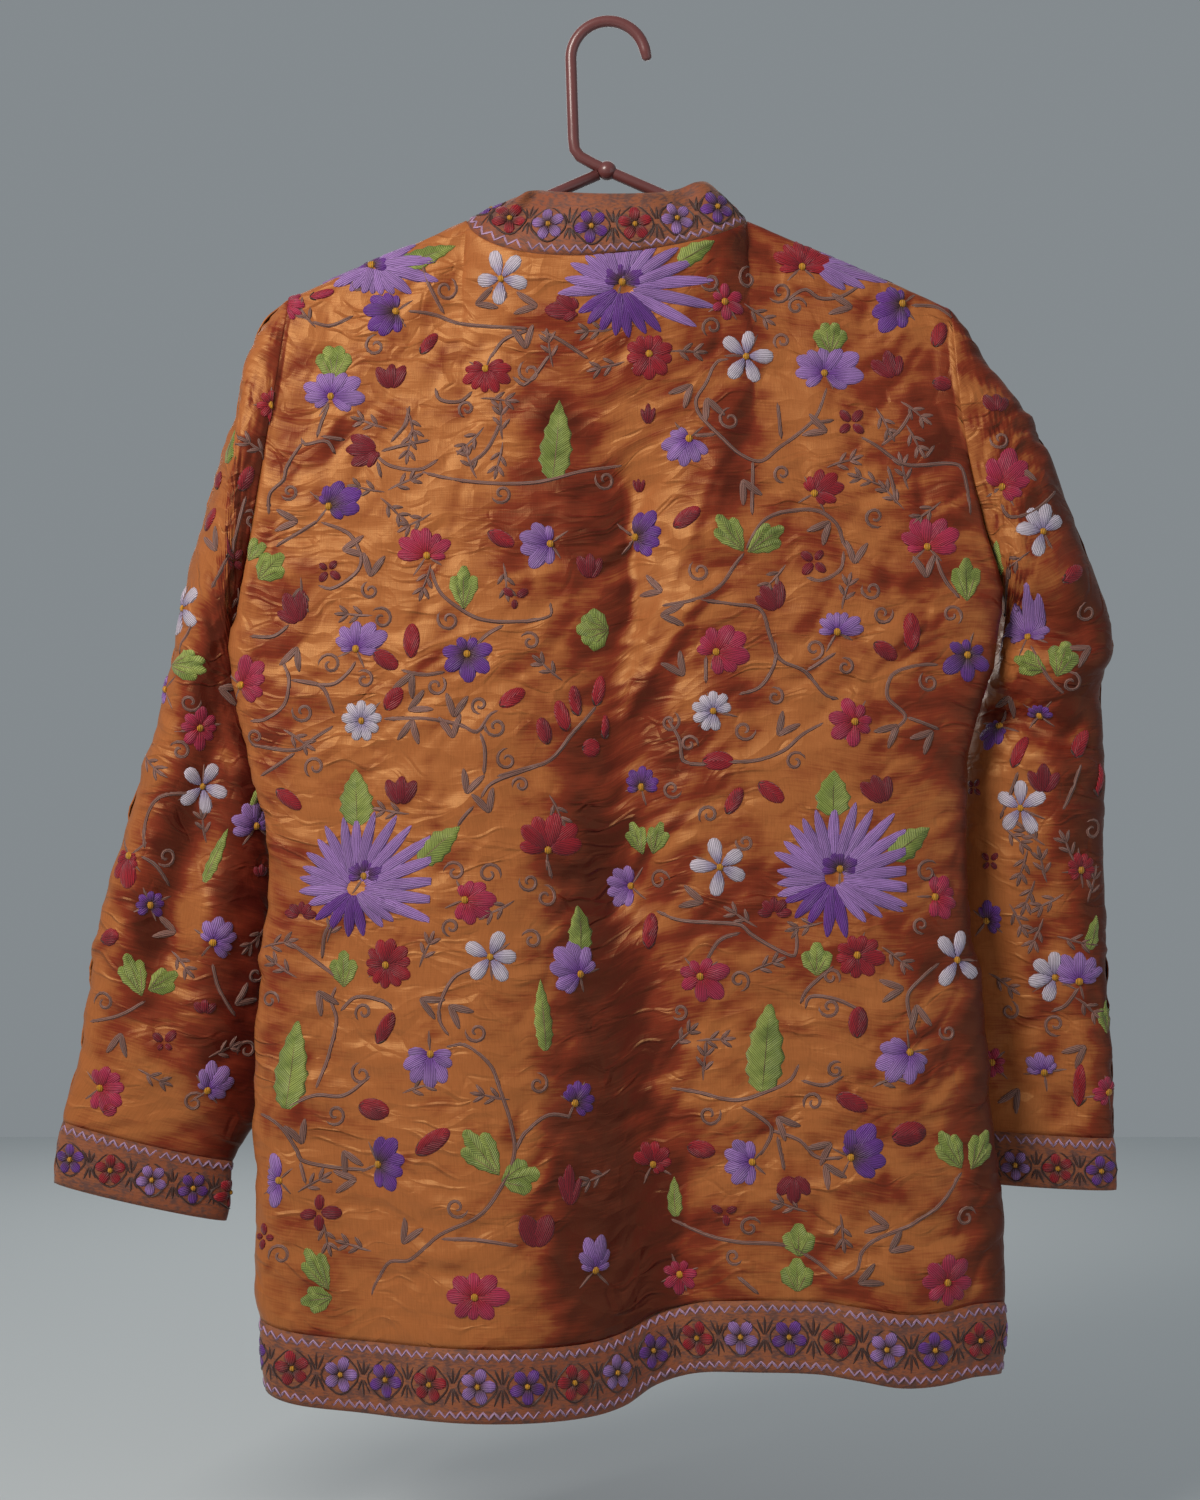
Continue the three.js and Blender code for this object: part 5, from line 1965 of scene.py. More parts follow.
RIGHT_DESIGN = Design(
    stars=(
        Star(1042, 532, (-30, 10, 55, 280, 200)), Star(1021, 808, (-60, 0, 60, 150, 220)),
        Star(1055, 977, (-50, 0, 200, 260)),
    ),
    beds=bloom_beds(
        lilac=(
            Bloom(1028, 638, 1002, 1050, 607, 645, 0, 210, 7),
            Bloom(1079, 981, 1055, 1100, 952, 986, 0, 200, 7),
            Bloom(1044, 1072, 1025, 1056, 1049, 1077, 0, 200, 6),
        ),
        violet=(
            Bloom(1000, 727, 981, 1007, 721, 752, 225, 200, 6),
            Bloom(987, 920, 980, 1004, 897, 934, 60, 200, 6),
            Bloom(1040, 715, 1026, 1054, 702, 724, 0, 200, 6),
        ),
        red=(Bloom(1080, 870, 1066, 1096, 852, 884, 0, 300, 8),),
        pink=(
            Bloom(1002, 487, 987, 1029, 447, 501, 45, 230, 7),
            Bloom(992, 1062, 980, 1006, 1046, 1078, 0, 360, 7),
            Bloom(1107, 1092, 1092, 1116, 1076, 1106, 300, 220, 6),
        ),
        garnet=(
            Bloom(996, 414, 980, 1012, 392, 417, 0, 110, 3), Bloom(1044, 794, 1027, 1061, 764, 796, 0, 90, 3),
            Bloom(976, 788, 966, 986, 776, 798, 45, 360, 4), Bloom(991, 861, 981, 1001, 848, 872, 45, 360, 4),
        ),
    ),
    buds=(
        (
            Dye.RED,
            (
                Bud(1072, 574, 60, 28, 14), Bud(1019, 752, 22, 34, 13), Bud(1079, 745, 25, 33, 13),
                Bud(1097, 780, 5, 34, 8), Bud(1080, 1085, 5, 45, 12),
            ),
        ),
    ),
    leaves=(Leaf(1010, 540, 1000, 575, 18), Leaf(1096, 915, 1088, 950, 16)),
    hands=(Hand(1030, 664, 290, 22, 34, 3), Hand(1063, 657, 20, 30, 36, 3), Hand(1105, 1017, 0, 20, 34, 3)),
    spirals=((1086, 612), (1070, 682), (1055, 1024), (1000, 440), (1010, 1010), (1090, 830)),
    stems=(
        ((1000, 502), (1010, 517), (1035, 510), (1055, 490)), ((1030, 645), (1047, 675), (1065, 695)),
        ((1019, 770), (1010, 795), (1000, 820)), ((1079, 762), (1072, 790), (1060, 812)),
        ((1080, 985), (1066, 1005), (1050, 1012)),
    ),
    cigars=((1020, 470), (1000, 600), (1085, 650), (1010, 700), (1080, 1050), (1015, 1095)),
    sprigs=(
        (1012, 835), (1035, 837), (1070, 852), (1030, 892), (1052, 900), (1070, 940), (1085, 1005),
        (1024, 862), (1044, 870), (1016, 915), (1038, 930), (1090, 890), (1018, 560), (1000, 980),
    ),
)


@dataclass
class Embroiderer:
    """Works designs and borders on the panels."""

    panels: dict[str, Panel]
    work: dict[str, Needlework] = field(default_factory=dict)

    PX: float = PHOTO.mm_per_px
    NEAR: float = 6.0
    FIRST_SEED: int = 20
    SMALL_STAR: tuple[float, float] = (12.0, 7.6)
    LARGE_STAR: tuple[float, float] = (17.0, 10.2)
    STAR_EYE: float = 4.8
    BLOOM_EYE: float = 5.2
    BLOOM_BASE: float = 1.2
    RAY_BASE: float = 0.12
    RAY_WIDEST: float = 8.6
    PETAL_WIDEST: float = 0.64
    BUD_FULLNESS: float = 1.15
    STEM_WIDE: float = 3.4
    STEM_RISE: float = 1.1
    ZIGZAG_WIDE: float = 2.3
    ZIGZAG_RISE: float = 0.9

    def __post_init__(self) -> None:
        """Starts a piece of needlework for each panel."""
        self.work = {
            node: Needlework(panel, seed)
            for seed, (node, panel) in enumerate(self.panels.items(), self.FIRST_SEED)
        }

    def star(self, needle: Needlework, turns: Sequence[float]) -> list[Stitch]:
        """A white flower with tear-shaped petals and a yellow eye.

        Args:
            needle: the panel's needlework.
            turns: the petals' clock directions, in degrees.

        Returns:
            Its stitches, lowest first.
        """
        many = len(turns) > 5
        long, wide = self.SMALL_STAR if many else self.LARGE_STAR
        made = []
        for k, turn in enumerate(turns):
            size = 1 + (needle.random.random() - 0.5) * 0.16
            made.append(
                needle.petal(
                    turned(turn) * 1.0, turn, long * size, wide, Shape.TEAR, Dye.WHITE,
                    base=Dye.MIST, rise=1.25, lift=0.18 * (k % 2), bend=8, tone=0.07,
                )
            )
        return [*self.needles(needle, 3, 15, Dye.BROWN), *made, needle.eye(np.zeros(2), self.STAR_EYE)]

    def needles(
        self, needle: Needlework, count: int, long: float, dye: Dye, turn: float | None = None
    ) -> list[Stitch]:
        """A few thin pointed stitches that stand out from behind a motif.

        Args:
            needle: the panel's needlework.
            count: how many.
            long: about how long, in millimetres.
            dye: the thread's colour.
            turn: the way that their fan points, or None for all round.

        Returns:
            The stitches.
        """
        start = needle.random.random() * 360 if turn is None else turn
        gap = 360 / count if turn is None else 24
        made = []
        for k in range(count):
            angle = start + gap * (k - (0 if turn is None else (count - 1) / 2))
            made.append(
                needle.petal(
                    turned(angle), angle, long * (0.8 + 0.4 * needle.random.random()), 3.0, Shape.RAY, dye,
                    rise=0.6, thin=True, bend=20 * (needle.random.random() - 0.5),
                )
            )
        return made

    def bloom(self, needle: Needlework, bed: Bed, bloom: Bloom) -> list[Stitch]:
        """A flower with its petals drawn to the edge of its box.

        Args:
            needle: the panel's needlework.
            bed: its kind and colours.
            bloom: its place, box and petals.

        Returns:
            Its stitches, lowest first.
        """
        half = np.array([bloom.x1 - bloom.x0, bloom.y1 - bloom.y0]) / 2 * self.PX
        middle = np.array(
            [(bloom.x0 + bloom.x1) / 2 - bloom.x, bloom.y - (bloom.y0 + bloom.y1) / 2]
        ) * self.PX
        whole = bloom.sweep >= 360
        gap = bloom.sweep / bloom.petals
        long_rays = bed.shape is Shape.RAY
        made = []
        for k in range(bloom.petals):
            turn = bloom.turn - bloom.sweep / 2 + gap * (k + (0 if whole else 0.5))
            turn += (needle.random.random() - 0.5) * gap * 0.25
            way = turned(turn)
            a = ((way / half) ** 2).sum()
            b = -2 * (way * middle / half**2).sum()
            c = ((middle / half) ** 2).sum() - 1
            reach = (-b + math.sqrt(max(b * b - 4 * a * c, 0))) / (2 * a)
            reach = max(reach, 0.45 * float(half.min())) * (0.94 + 0.12 * needle.random.random())
            wide = 2 * reach * math.tan(math.radians(min(gap, 70) / 2)) * (1.25 if long_rays else 0.98)
            wide = min(wide, self.RAY_WIDEST if long_rays else reach * self.PETAL_WIDEST)
            base = reach * self.RAY_BASE if long_rays else self.BLOOM_BASE
            made.append(
                needle.petal(
                    way * base, turn, reach - base, wide, bed.shape, bed.dye,
                    base=bed.base, rise=1.15, lift=0.2 * (k % 2), bend=(needle.random.random() - 0.5) * 14,
                    tone=0.16,
                )
            )
        if bed.eyed:
            made += [needle.eye(np.zeros(2), self.BLOOM_EYE)]
            made = self.needles(needle, 4, 13, Dye.BROWN) + made
        return made

    def bud(self, needle: Needlework, dye: Dye, bud: Bud) -> list[Stitch]:
        """A plump bud in two reds, on two short needles.

        Args:
            needle: the panel's needlework.
            dye: the colour of the half that isn't plain red.
            bud: its tilt and size.

        Returns:
            Its stitches, lowest first.
        """
        long, wide = bud.long * self.PX, bud.wide * self.PX
        start = -turned(bud.tilt) * long / 2
        halves = [
            needle.petal(
                start, bud.tilt, long, wide * self.BUD_FULLNESS, Shape.DISC, colour,
                side=side, slant=22, rise=1.5,
            )
            for side, colour in ((-1, Dye.RED), (1, dye))
        ]
        calyx = [
            needle.petal(
                start, bud.tilt + lean, long * 0.3, 2.4, Shape.RAY, Dye.UMBER,
                rise=0.7, thin=True, lift=0.5,
            )
            for lean in (-38, 38)
        ]
        return calyx + halves

    def blade(
        self, needle: Needlework, start: np.ndarray, turn: float, long: float, wide: float,
        shape: Shape = Shape.LEAF,
    ) -> list[Stitch]:
        """A leaf in two greens with slanting threads and a midrib.

        Args:
            needle: the panel's needlework.
            start: its base.
            turn: the way that it points, in degrees.
            long: its length in millimetres.
            wide: its width.
            shape: how it swells and closes.

        Returns:
            Its two halves and its rib.
        """
        greens = [(-1, Dye.LEAF), (1, Dye.MOSS)]
        if needle.random.random() < 0.5:
            greens = [(-1, Dye.MOSS), (1, Dye.LEAF)]
        bend = (needle.random.random() - 0.5) * 16
        made = [
            needle.petal(
                start, turn, long, wide, shape, dye, side=side, slant=48, rise=1.0, rough=0.1, bend=bend
            )
            for side, dye in greens
        ]
        rib = needle.petal(
            start, turn, long * 0.86, 1.5, Shape.RAY, Dye.BROWN, rise=0.5, thin=True, lift=0.85, bend=bend
        )
        return [*made, rib]

    def hand(self, needle: Needlework, hand: Hand) -> list[Stitch]:
        """A leaf of several fingers that open from its base.

        Args:
            needle: the panel's needlework.
            hand: its direction, size and fingers.

        Returns:
            Its stitches, a finger at a time.
        """
        long, wide = hand.long * self.PX, hand.wide * self.PX
        base = -turned(hand.turn) * long / 2
        fan = 2 * math.degrees(math.atan2(wide * 0.42, long * 0.8))
        made = []
        for k in range(hand.fingers):
            place = (k / (hand.fingers - 1) - 0.5) * 2
            finger = long * (1.02 - 0.2 * abs(place))
            width = wide * 1.5 / hand.fingers + 1.2
            made += self.blade(needle, base, hand.turn + place * fan / 2, finger, width, Shape.TEAR)
        return made

    def spiral(self, needle: Needlework, size: float = 7.0, dye: Dye = Dye.BROWN) -> list[Stitch]:
        """A curled tendril.

        Args:
            needle: the panel's needlework.
            size: about how far it reaches from its middle.
            dye: the thread's colour.

        Returns:
            The tendril.
        """
        start, way = needle.random.random() * 360, 1 if needle.random.random() < 0.5 else -1
        size *= 0.85 + 0.35 * needle.random.random()
        t = np.linspace(0, 1, 18)
        angle = np.radians(start + way * 470 * t)
        radius = size * (1 - 0.82 * t**0.85)
        path = np.stack([np.sin(angle), np.cos(angle)], 1) * radius[:, None]
        half = np.minimum(1, np.minimum(t, 1 - t) * 12) * 1.5
        return [needle.shape(path, half, 1.0, dye, thin=True)]

    def work_design(self, site: Site, design: Design) -> None:
        """Works a whole design on one side of a panel.

        Args:
            site: the side of the panel.
            design: what is worked.
        """
        needle = self.work[site.panel.node]
        motifs: list[tuple[float, float, Callable[[], list[Stitch]]]] = []
        for stem in design.stems:
            self.line(site, stem)
        for x, y in design.sprigs:
            motifs.append((x, y, lambda: self.sprig(needle)))
        for x, y in design.cigars:
            motifs.append((x, y, lambda: self.cigar(needle)))
        for x, y in design.spirals:
            motifs.append((x, y, lambda: self.spiral(needle)))
        for leaf in design.leaves:
            tip, base = np.array([leaf.tip_x, -leaf.tip_y]), np.array([leaf.base_x, -leaf.base_y])
            way = (tip - base) * self.PX
            turn = math.degrees(math.atan2(way[0], way[1]))
            long = float(np.linalg.norm(way))
            wide = leaf.wide * self.PX
            motifs.append(
                (
                    leaf.base_x,
                    leaf.base_y,
                    lambda t=turn, s=long, w=wide: self.blade(needle, np.zeros(2), t, s, w),
                )
            )
        for hand in design.hands:
            motifs.append((hand.x, hand.y, lambda h=hand: self.hand(needle, h)))
        for dye, buds in design.buds:
            for bud in buds:
                motifs.append((bud.x, bud.y, lambda d=dye, b=bud: self.bud(needle, d, b)))
        for bed in design.beds:
            for bloom in bed.blooms:
                motifs.append((bloom.x, bloom.y, lambda d=bed, b=bloom: self.bloom(needle, d, b)))
        for star in design.stars:
            motifs.append((star.x, star.y, lambda s=star: self.star(needle, s.turns)))
        places, away = site.find(np.array([(x, y) for x, y, _ in motifs], float))
        for place, miss, (_, _, make) in zip(places, away, motifs):
            stitches = make()
            if miss < self.NEAR:
                needle.set_down(site, place, stitches)

    def line(self, site: Site, stem: Sequence[tuple[float, float]]) -> None:
        """Works a stem, where it lies on the panel.

        Args:
            site: the side of the panel.
            stem: the pixels that it runs through.
        """
        path = smoothed(np.array(stem, float), 4.6)
        places, away = site.find(path)
        if away.max() < self.NEAR:
            self.work[site.panel.node].run(places, self.STEM_WIDE, self.STEM_RISE, Dye.BROWN)

    def sprig(self, needle: Needlework) -> list[Stitch]:
        """A short stem with slim leaves on both sides.

        Args:
            needle: the panel's needlework.

        Returns:
            Its stitches, the stem first.
        """
        turn = needle.random.random() * 360
        way = turned(turn)
        made = [
            needle.petal(-way * 9, turn, 19, 2.8, Shape.DISC, Dye.BROWN, rise=0.8, thin=True, bend=16)
        ]
        for place, side in ((-2, 1), (0, -1), (7, 1), (7, -1), (8, 0)):
            made.append(
                needle.petal(
                    way * place, turn + side * 40, 9.0, 4.0, Shape.RAY, Dye.BROWN,
                    rise=1.0, thin=True, tone=0.2,
                )
            )
        return made

    def cigar(self, needle: Needlework) -> list[Stitch]:
        """A pair of slim brown leaves in a V.

        Args:
            needle: the panel's needlework.

        Returns:
            The two leaves.
        """
        turn = needle.random.random() * 360
        return [
            needle.petal(
                -turned(turn) * 5, turn + lean, 17.0, 5.2, Shape.RAY, Dye.BROWN,
                rise=1.0, bend=lean * 0.5, tone=0.2,
            )
            for lean in (-24, 24)
        ]

    def band_place(self, panel: Panel, along: np.ndarray, down: np.ndarray) -> np.ndarray:
        """Places on a band by how far along it they are and how far down it, both in millimetres.

        Args:
            panel: the band.
            along: millimetres from its left end.
            down: millimetres from its top edge.

        Returns:
            Columns and rows on the panel's grid.
        """
        p, q = panel.flat[..., 0], panel.flat[..., 1]
        middle = p[len(p) // 2]
        i = np.interp(along, middle - middle[0], np.arange(len(middle)))
        deep = q[:, q.shape[1] // 2]
        return np.stack([i, np.interp(down, deep, np.arange(len(deep)))], 1)

    def zigzag(self, panel: Panel, down: float, rise: float = 2.0, half_pitch: float = 3.5) -> None:
        """Works a zigzag along a band.

        Args:
            panel: the band.
            down: how far down it the zigzag's middle runs.
            rise: how far it swings to each side.
            half_pitch: the length of one stroke along the band.
        """
        p = panel.flat[len(panel.flat) // 2, :, 0]
        length = float(p[-1] - p[0])
        count = int(length / half_pitch)
        along = np.linspace(0, length, count * 2 + 1)
        swing = np.array([0, 1, 0, -1])[np.arange(count * 2 + 1) % 4]
        places = self.band_place(panel, along, down + swing * rise)
        for start in range(0, count * 2, 40):
            part = places[start : start + 41]
            self.work[panel.node].run(part, self.ZIGZAG_WIDE, self.ZIGZAG_RISE, Dye.MAUVE, lift=0.15)

    def cartouche(self, needle: Needlework, dye: Dye, size: float) -> list[Stitch]:
        """A round-petalled flower in a rounded square of dark brown stitches.

        Args:
            needle: the panel's needlework.
            dye: the petals' colour.
            size: the square's half width.

        Returns:
            Its stitches, the square first.
        """
        t = np.linspace(0, 2 * np.pi, 25)
        corner = size * (1 + 0.07 * np.cos(4 * t))
        path = np.stack([np.sin(t), np.cos(t)], 1) * corner[:, None]
        half = np.minimum(1, np.minimum(t, 2 * np.pi - t) * 4) * 1.0
        made = [needle.shape(path, half, 0.9, Dye.UMBER, thin=True)]
        start = needle.random.random() * 72
        for k in range(5):
            turn = start + 72 * k
            made.append(
                needle.petal(
                    turned(turn) * 1.2, turn, size * 0.92, size * 0.74, Shape.ROUND, dye,
                    base=Dye.UMBER, rise=1.1, lift=0.15 * (k % 2), tone=0.14,
                )
            )
        return [*made, needle.eye(np.zeros(2), 3.6)]

    def border(
        self, node: str, zigzags: Sequence[float], centre: float, size: float,
        along: np.ndarray, dyes: Sequence[Dye],
    ) -> None:
        """Works a border's zigzags, cartouches and the sprigs between them.

        Args:
            node: the band's panel.
            zigzags: how far down the band each zigzag runs.
            centre: how far down it the flowers stand.
            size: the cartouches' radius.
            along: how far along it each flower stands.
            dyes: the flowers' colours, over and over.
        """
        panel, needle = self.panels[node], self.work[node]
        for down in zigzags:
            self.zigzag(panel, down)
        site = Site(panel, 0, panel.form.shape[1] - 1)
        places = self.band_place(panel, along, np.full(len(along), centre))
        between = self.band_place(panel, (along[1:] + along[:-1]) / 2, np.full(len(along) - 1, centre))
        for place in between:
            for turn in (0, 180):
                needle.set_down(site, place, self.needles(needle, 3, size * 0.95, Dye.UMBER, turn))
        for k, place in enumerate(places):
            needle.set_down(site, place, self.cartouche(needle, dyes[k % len(dyes)], size))


# The hanger


@dataclass
class Hanger:
    """One bent rod: hook, shaft, right arm, lower bar and left arm, welded where it closes."""

    radius: float = CUT.tube
    hook_radius: float = 24.4
    hook_x: float = 0.9
    tip_deg: float = 13.0
    reach: float = 191.0
    end_radius: float = 12.5
    knuckle: float = 6.3
    sides: int = 20
    shaft: tuple[tuple[float, float], ...] = ((-21.8, -73), (-21, -79.5), (-17.6, -84.2), (-9, -89))

    def route(self) -> list[tuple[float, float]]:
        """The rod's centre line, X and Z, from the hook's tip round to where it closes."""
        def arc(
            cx: float, cz: float, radius: float, start: float, stop: float, count: int
        ) -> list[tuple[float, float]]:
            """Points along an arc."""
            return [
                (cx + radius * math.cos(math.radians(a)), cz + radius * math.sin(math.radians(a)))
                for a in np.linspace(start, stop, count)
            ]

        tilt = math.degrees(math.atan(CUT.slope))
        end_z = CUT.apex - CUT.slope * self.reach
        bend_x = self.reach - self.end_radius * math.sin(math.radians(tilt))
        bend_z = end_z - self.end_radius * math.cos(math.radians(tilt))
        right = arc(bend_x, bend_z, self.end_radius, 90 - tilt, -90, 16)
        left = [(-x, z) for x, z in reversed(right)]
        hook = arc(self.hook_x, self.radius - self.hook_radius, self.hook_radius, self.tip_deg, 180, 48)
        arm = [(self.reach * t, mix(CUT.apex, end_z, t)) for t in (0.03, 0.25, 0.5, 0.75)]
        back = [(-x, z) for x, z in reversed(arm)]
        return [*hook, *self.shaft, *arm, *right, *left, *back]

    def build(self, material: bpy.types.Material) -> bpy.types.Object:
        """Sweeps a round section along the rod and adds the knuckle.

        Args:
            material: the plastic.

        Returns:
            The new object.
        """
        bm = bmesh.new()
        points = [Vector((x, 0, z)) for x, z in self.route()]
        rounded = [(-0.9, 0.45), (-0.55, 0.84)]
        first = (points[0] - points[1]).normalized()
        rings = [(points[0] - first * self.radius * s, self.radius * r, first) for s, r in rounded]
        rings = [(p + first * self.radius * 0.9, r, d) for p, r, d in rings]
        for n, point in enumerate(points):
            ahead = points[min(n + 1, len(points) - 1)] - points[max(n - 1, 0)]
            rings.append((point, self.radius, -ahead.normalized()))
        loops = []
        for point, radius, direction in rings:
            turn = direction.to_track_quat("Z", "Y").to_matrix().to_4x4()
            made = bmesh.ops.create_circle(
                bm, segments=self.sides, radius=radius, matrix=Matrix.Translation(point) @ turn
            )
            loops.append(list({edge for vert in made["verts"] for edge in vert.link_edges}))
        for one, other in zip(loops, loops[1:]):
            bmesh.ops.bridge_loops(bm, edges=one + other)
        for loop in (loops[0], loops[-1]):
            bmesh.ops.contextual_create(bm, geom=loop)
        bmesh.ops.create_uvsphere(
            bm, u_segments=24, v_segments=14, radius=self.knuckle, matrix=Matrix.Translation((0, 0, CUT.apex))
        )
        bmesh.ops.recalc_face_normals(bm, faces=bm.faces[:])
        bmesh.ops.scale(bm, vec=(MM,) * 3, verts=bm.verts[:])
        mesh = bpy.data.meshes.new("hanger_rod")
        bm.to_mesh(mesh)
        bm.free()
        mesh.shade_smooth()
        mesh.materials.append(material)
        obj = bpy.data.objects.new("hanger_rod", mesh)
        bpy.context.collection.objects.link(obj)
        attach(obj, "root")
        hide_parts("hanger")
        LOG.info("hanger_rod: %d faces", len(mesh.polygons))
        return obj


# The whole jacket

HEM_GAP = 31.0
BAND_GAP = 27.0
BACK_CREASES = (
    Fold(57, -378, 12, -449, 5, 3.6, 2.8), Fold(74, -297, 68, -331, 6, 2.8, 1.8),
    Fold(70, -288, 15, -431, 5, 2.2, 2.8), Fold(14, -300, 17, -390, 6, -4.5, -5.0),
    Fold(-115, -857, -30, -840, 6, 3.4, 2.4), Fold(-141, -803, -89, -796, 5, -2.6, -2.0),
    Fold(-190, -560, -60, -572, 6, 2.4, 1.6), Fold(60, -610, 190, -585, 6, 2.0, 2.4),
    Fold(-205, -430, -120, -455, 5, 2.2, 1.4), Fold(90, -480, 200, -455, 5, 1.6, 2.4),
    Fold(-60, -700, 30, -760, 6, 2.6, 2.0), Fold(70, -760, 170, -740, 5, 2.0, 2.4),
)
# Painted shade and light on the back: positive patches darken the deep valley, hollows near the shoulders and
# folds, and the side edges; negative ones paint light.
BACK_SHADING = (
    ShadingPatch(12, -649, 34, 190, 0.58), ShadingPatch(28, -800, 38, 80, 0.4), ShadingPatch(-40, -268, 18, 50, 0.28),
    ShadingPatch(80, -242, 22, 40, 0.28), ShadingPatch(216, -268, 18, 40, 0.35), ShadingPatch(174, -242, 20, 24, 0.2),
    ShadingPatch(-83, -333, 28, 16, 0.28), ShadingPatch(67, -333, 12, 24, 0.25), ShadingPatch(203, -421, 20, 24, 0.3),
    ShadingPatch(86, -554, 28, 26, 0.25), ShadingPatch(-219, -567, 13, 250, 0.3), ShadingPatch(246, -684, 15, 130, 0.35),
    ShadingPatch(-66, -560, 28, 220, -0.26), ShadingPatch(99, -697, 28, 110, -0.08), ShadingPatch(-130, -330, 40, 60, -0.12),
)
# Painted shade and light on the sleeves: positive patches darken hollows and troughs, and the negative one
# lightens the left sleeve low down.
RIGHT_SHADING = (ShadingPatch(262, -384, 40, 14, 0.4), ShadingPatch(262, -445, 34, 16, 0.5), ShadingPatch(300, -540, 20, 80, 0.15))
LEFT_SHADING = (
    ShadingPatch(-236, -470, 16, 110, 0.4), ShadingPatch(-300, -560, 30, 60, 0.15), ShadingPatch(-300, -700, 50, 14, -0.3),
)


@dataclass
class Jacket:
    """The jacket: its cloth panels and what is sewn on them."""

    panels: dict[str, Panel] = field(default_factory=dict)

    def cut(self) -> None:
        """Lays out every panel."""
        body_down, front_down = fall(66, 146), fall(46, 96)
        band = np.linspace(2, 3, 14)
        wide, half = spread(164, -1, 1), 62
        left, right = spread(half, -1, 0), spread(half, 0, 1)
        round_it = np.linspace(0, 360, 73)
        neck = np.linspace(-178.5, 178.5, 150)
        arm_down, cuff_down = np.linspace(0, 9, 150), np.linspace(9, 10, 12)
        back_folds = Crumple(1, creases=BACK_CREASES, shading_patches=BACK_SHADING)
        # The sleeves' silk starts darker than the back's, further towards rust.
        left_folds = Crumple(7, shading_patches=LEFT_SHADING, rust_and_shade=0.52)
        right_folds = Crumple(8, shading_patches=RIGHT_SHADING, rust_and_shade=0.5)
        plans = (
            ("back", BACK.point, wide, body_down, -1, back_folds, False),
            ("hem_back", BACK.point, wide, band, -1, Crumple(2, coarse=0.9), False),
            ("front_left", FRONT.point, left, front_down, 1, Crumple(3), False),
            ("front_right", FRONT.point, right, front_down, 1, Crumple(4), False),
            ("hem_front_left", FRONT.point, left, band, 1, Crumple(5, coarse=0.9), False),
            ("hem_front_right", FRONT.point, right, band, 1, Crumple(6, coarse=0.9), False),
            ("sleeve_left", SLEEVE_LEFT.point, round_it, arm_down, -1, left_folds, True),
            ("sleeve_right", SLEEVE_RIGHT.point, round_it, arm_down, 1, right_folds, True),
            ("cuff_left", SLEEVE_LEFT.point, round_it, cuff_down, -1, Crumple(9, coarse=0.8), True),
            ("cuff_right", SLEEVE_RIGHT.point, round_it, cuff_down, 1, Crumple(10, coarse=0.8), True),
            ("collar", collar_point, neck, np.linspace(0, 1, 12), 1, Crumple(11, coarse=0.7), False),
        )
        slots = {"back", "front_left", "front_right", "sleeve_left", "sleeve_right"}
        for node, point, across, down, outwards, crumple, closed in plans:
            self.panels[node] = Panel(
                name=f"{node}_cloth",
                node=node,
                slot="shot_silk" if node in slots else "border_silk",
                point=point,
                across=across,
                down=down,
                outwards=outwards,
                crumple=crumple,
                closed=closed,
                seams="tb" if closed else "tblr",
            )

    def sew(self) -> None:
        silk, border = ShotSilk().make("shot_silk"), BorderSilk().make("border_silk")
        for panel in self.panels.values():
            panel.build(silk if panel.slot == "shot_silk" else border)

    def embroider(self) -> dict[str, list[bpy.types.Object]]:
        """Works every panel's embroidery.

        Returns:
            The pieces on each panel, by node.
        """
        maker = Embroiderer(self.panels)
        back = self.panels["back"]
        maker.work_design(Site(back, 0, back.form.shape[1] - 1), BACK_DESIGN)
        for node in ("front_left", "front_right"):
            panel = self.panels[node]
            site = Site(panel, 0, panel.form.shape[1] - 1, seen=False, flip=-1, shift_x=6, shift_z=-12)
            maker.work_design(site, BACK_DESIGN)
        for node, design in (("sleeve_left", LEFT_DESIGN), ("sleeve_right", RIGHT_DESIGN)):
            panel = self.panels[node]
            half = panel.form.shape[1] // 2
            maker.work_design(Site(panel, 0, half), design)
            maker.work_design(Site(panel, half, 2 * half, seen=False, shift_z=-20), design)
        self.edge(maker)
        thread = Floss().make("embroidery_thread")
        made = {node: needle.build(thread) for node, needle in maker.work.items()}
        return {node: [piece] for node, piece in made.items() if piece}

    def edge(self, maker: Embroiderer) -> None:
        """Works the borders on the hem, the cuffs and the collar.

        Args:
            maker: the embroiderer.
        """
        three = (Dye.VIOLET, Dye.RED, Dye.LILAC)
        for node, panel in self.panels.items():
            p = panel.flat[len(panel.flat) // 2, :, 0]
            length = float(p[-1] - p[0])
            gap = HEM_GAP if "hem" in node else BAND_GAP
            count = max(int(round(length / gap)), 1)
            along = (np.arange(count) + 0.5) * length / count
            if "hem" in node:
                maker.border(node, (5.0, CUT.hem_band - 5.0), CUT.hem_band / 2, 11.5, along, three)
            elif "cuff" in node:
                maker.border(node, (4.0,), 21.0, 10.0, along, three)
            elif node == "collar":
                maker.border(node, (4.0,), 18.0, 11.0, along, three)

    def declare(self, work: dict[str, list[bpy.types.Object]]) -> None:
        """Works out each panel's flat size and area, and keeps neither.

        Args:
            work: the embroidery on each panel, by node; not used.
        """
        for node, panel in self.panels.items():
            wide, long = panel.size()
            min(panel.area(), wide * long)


# The stage


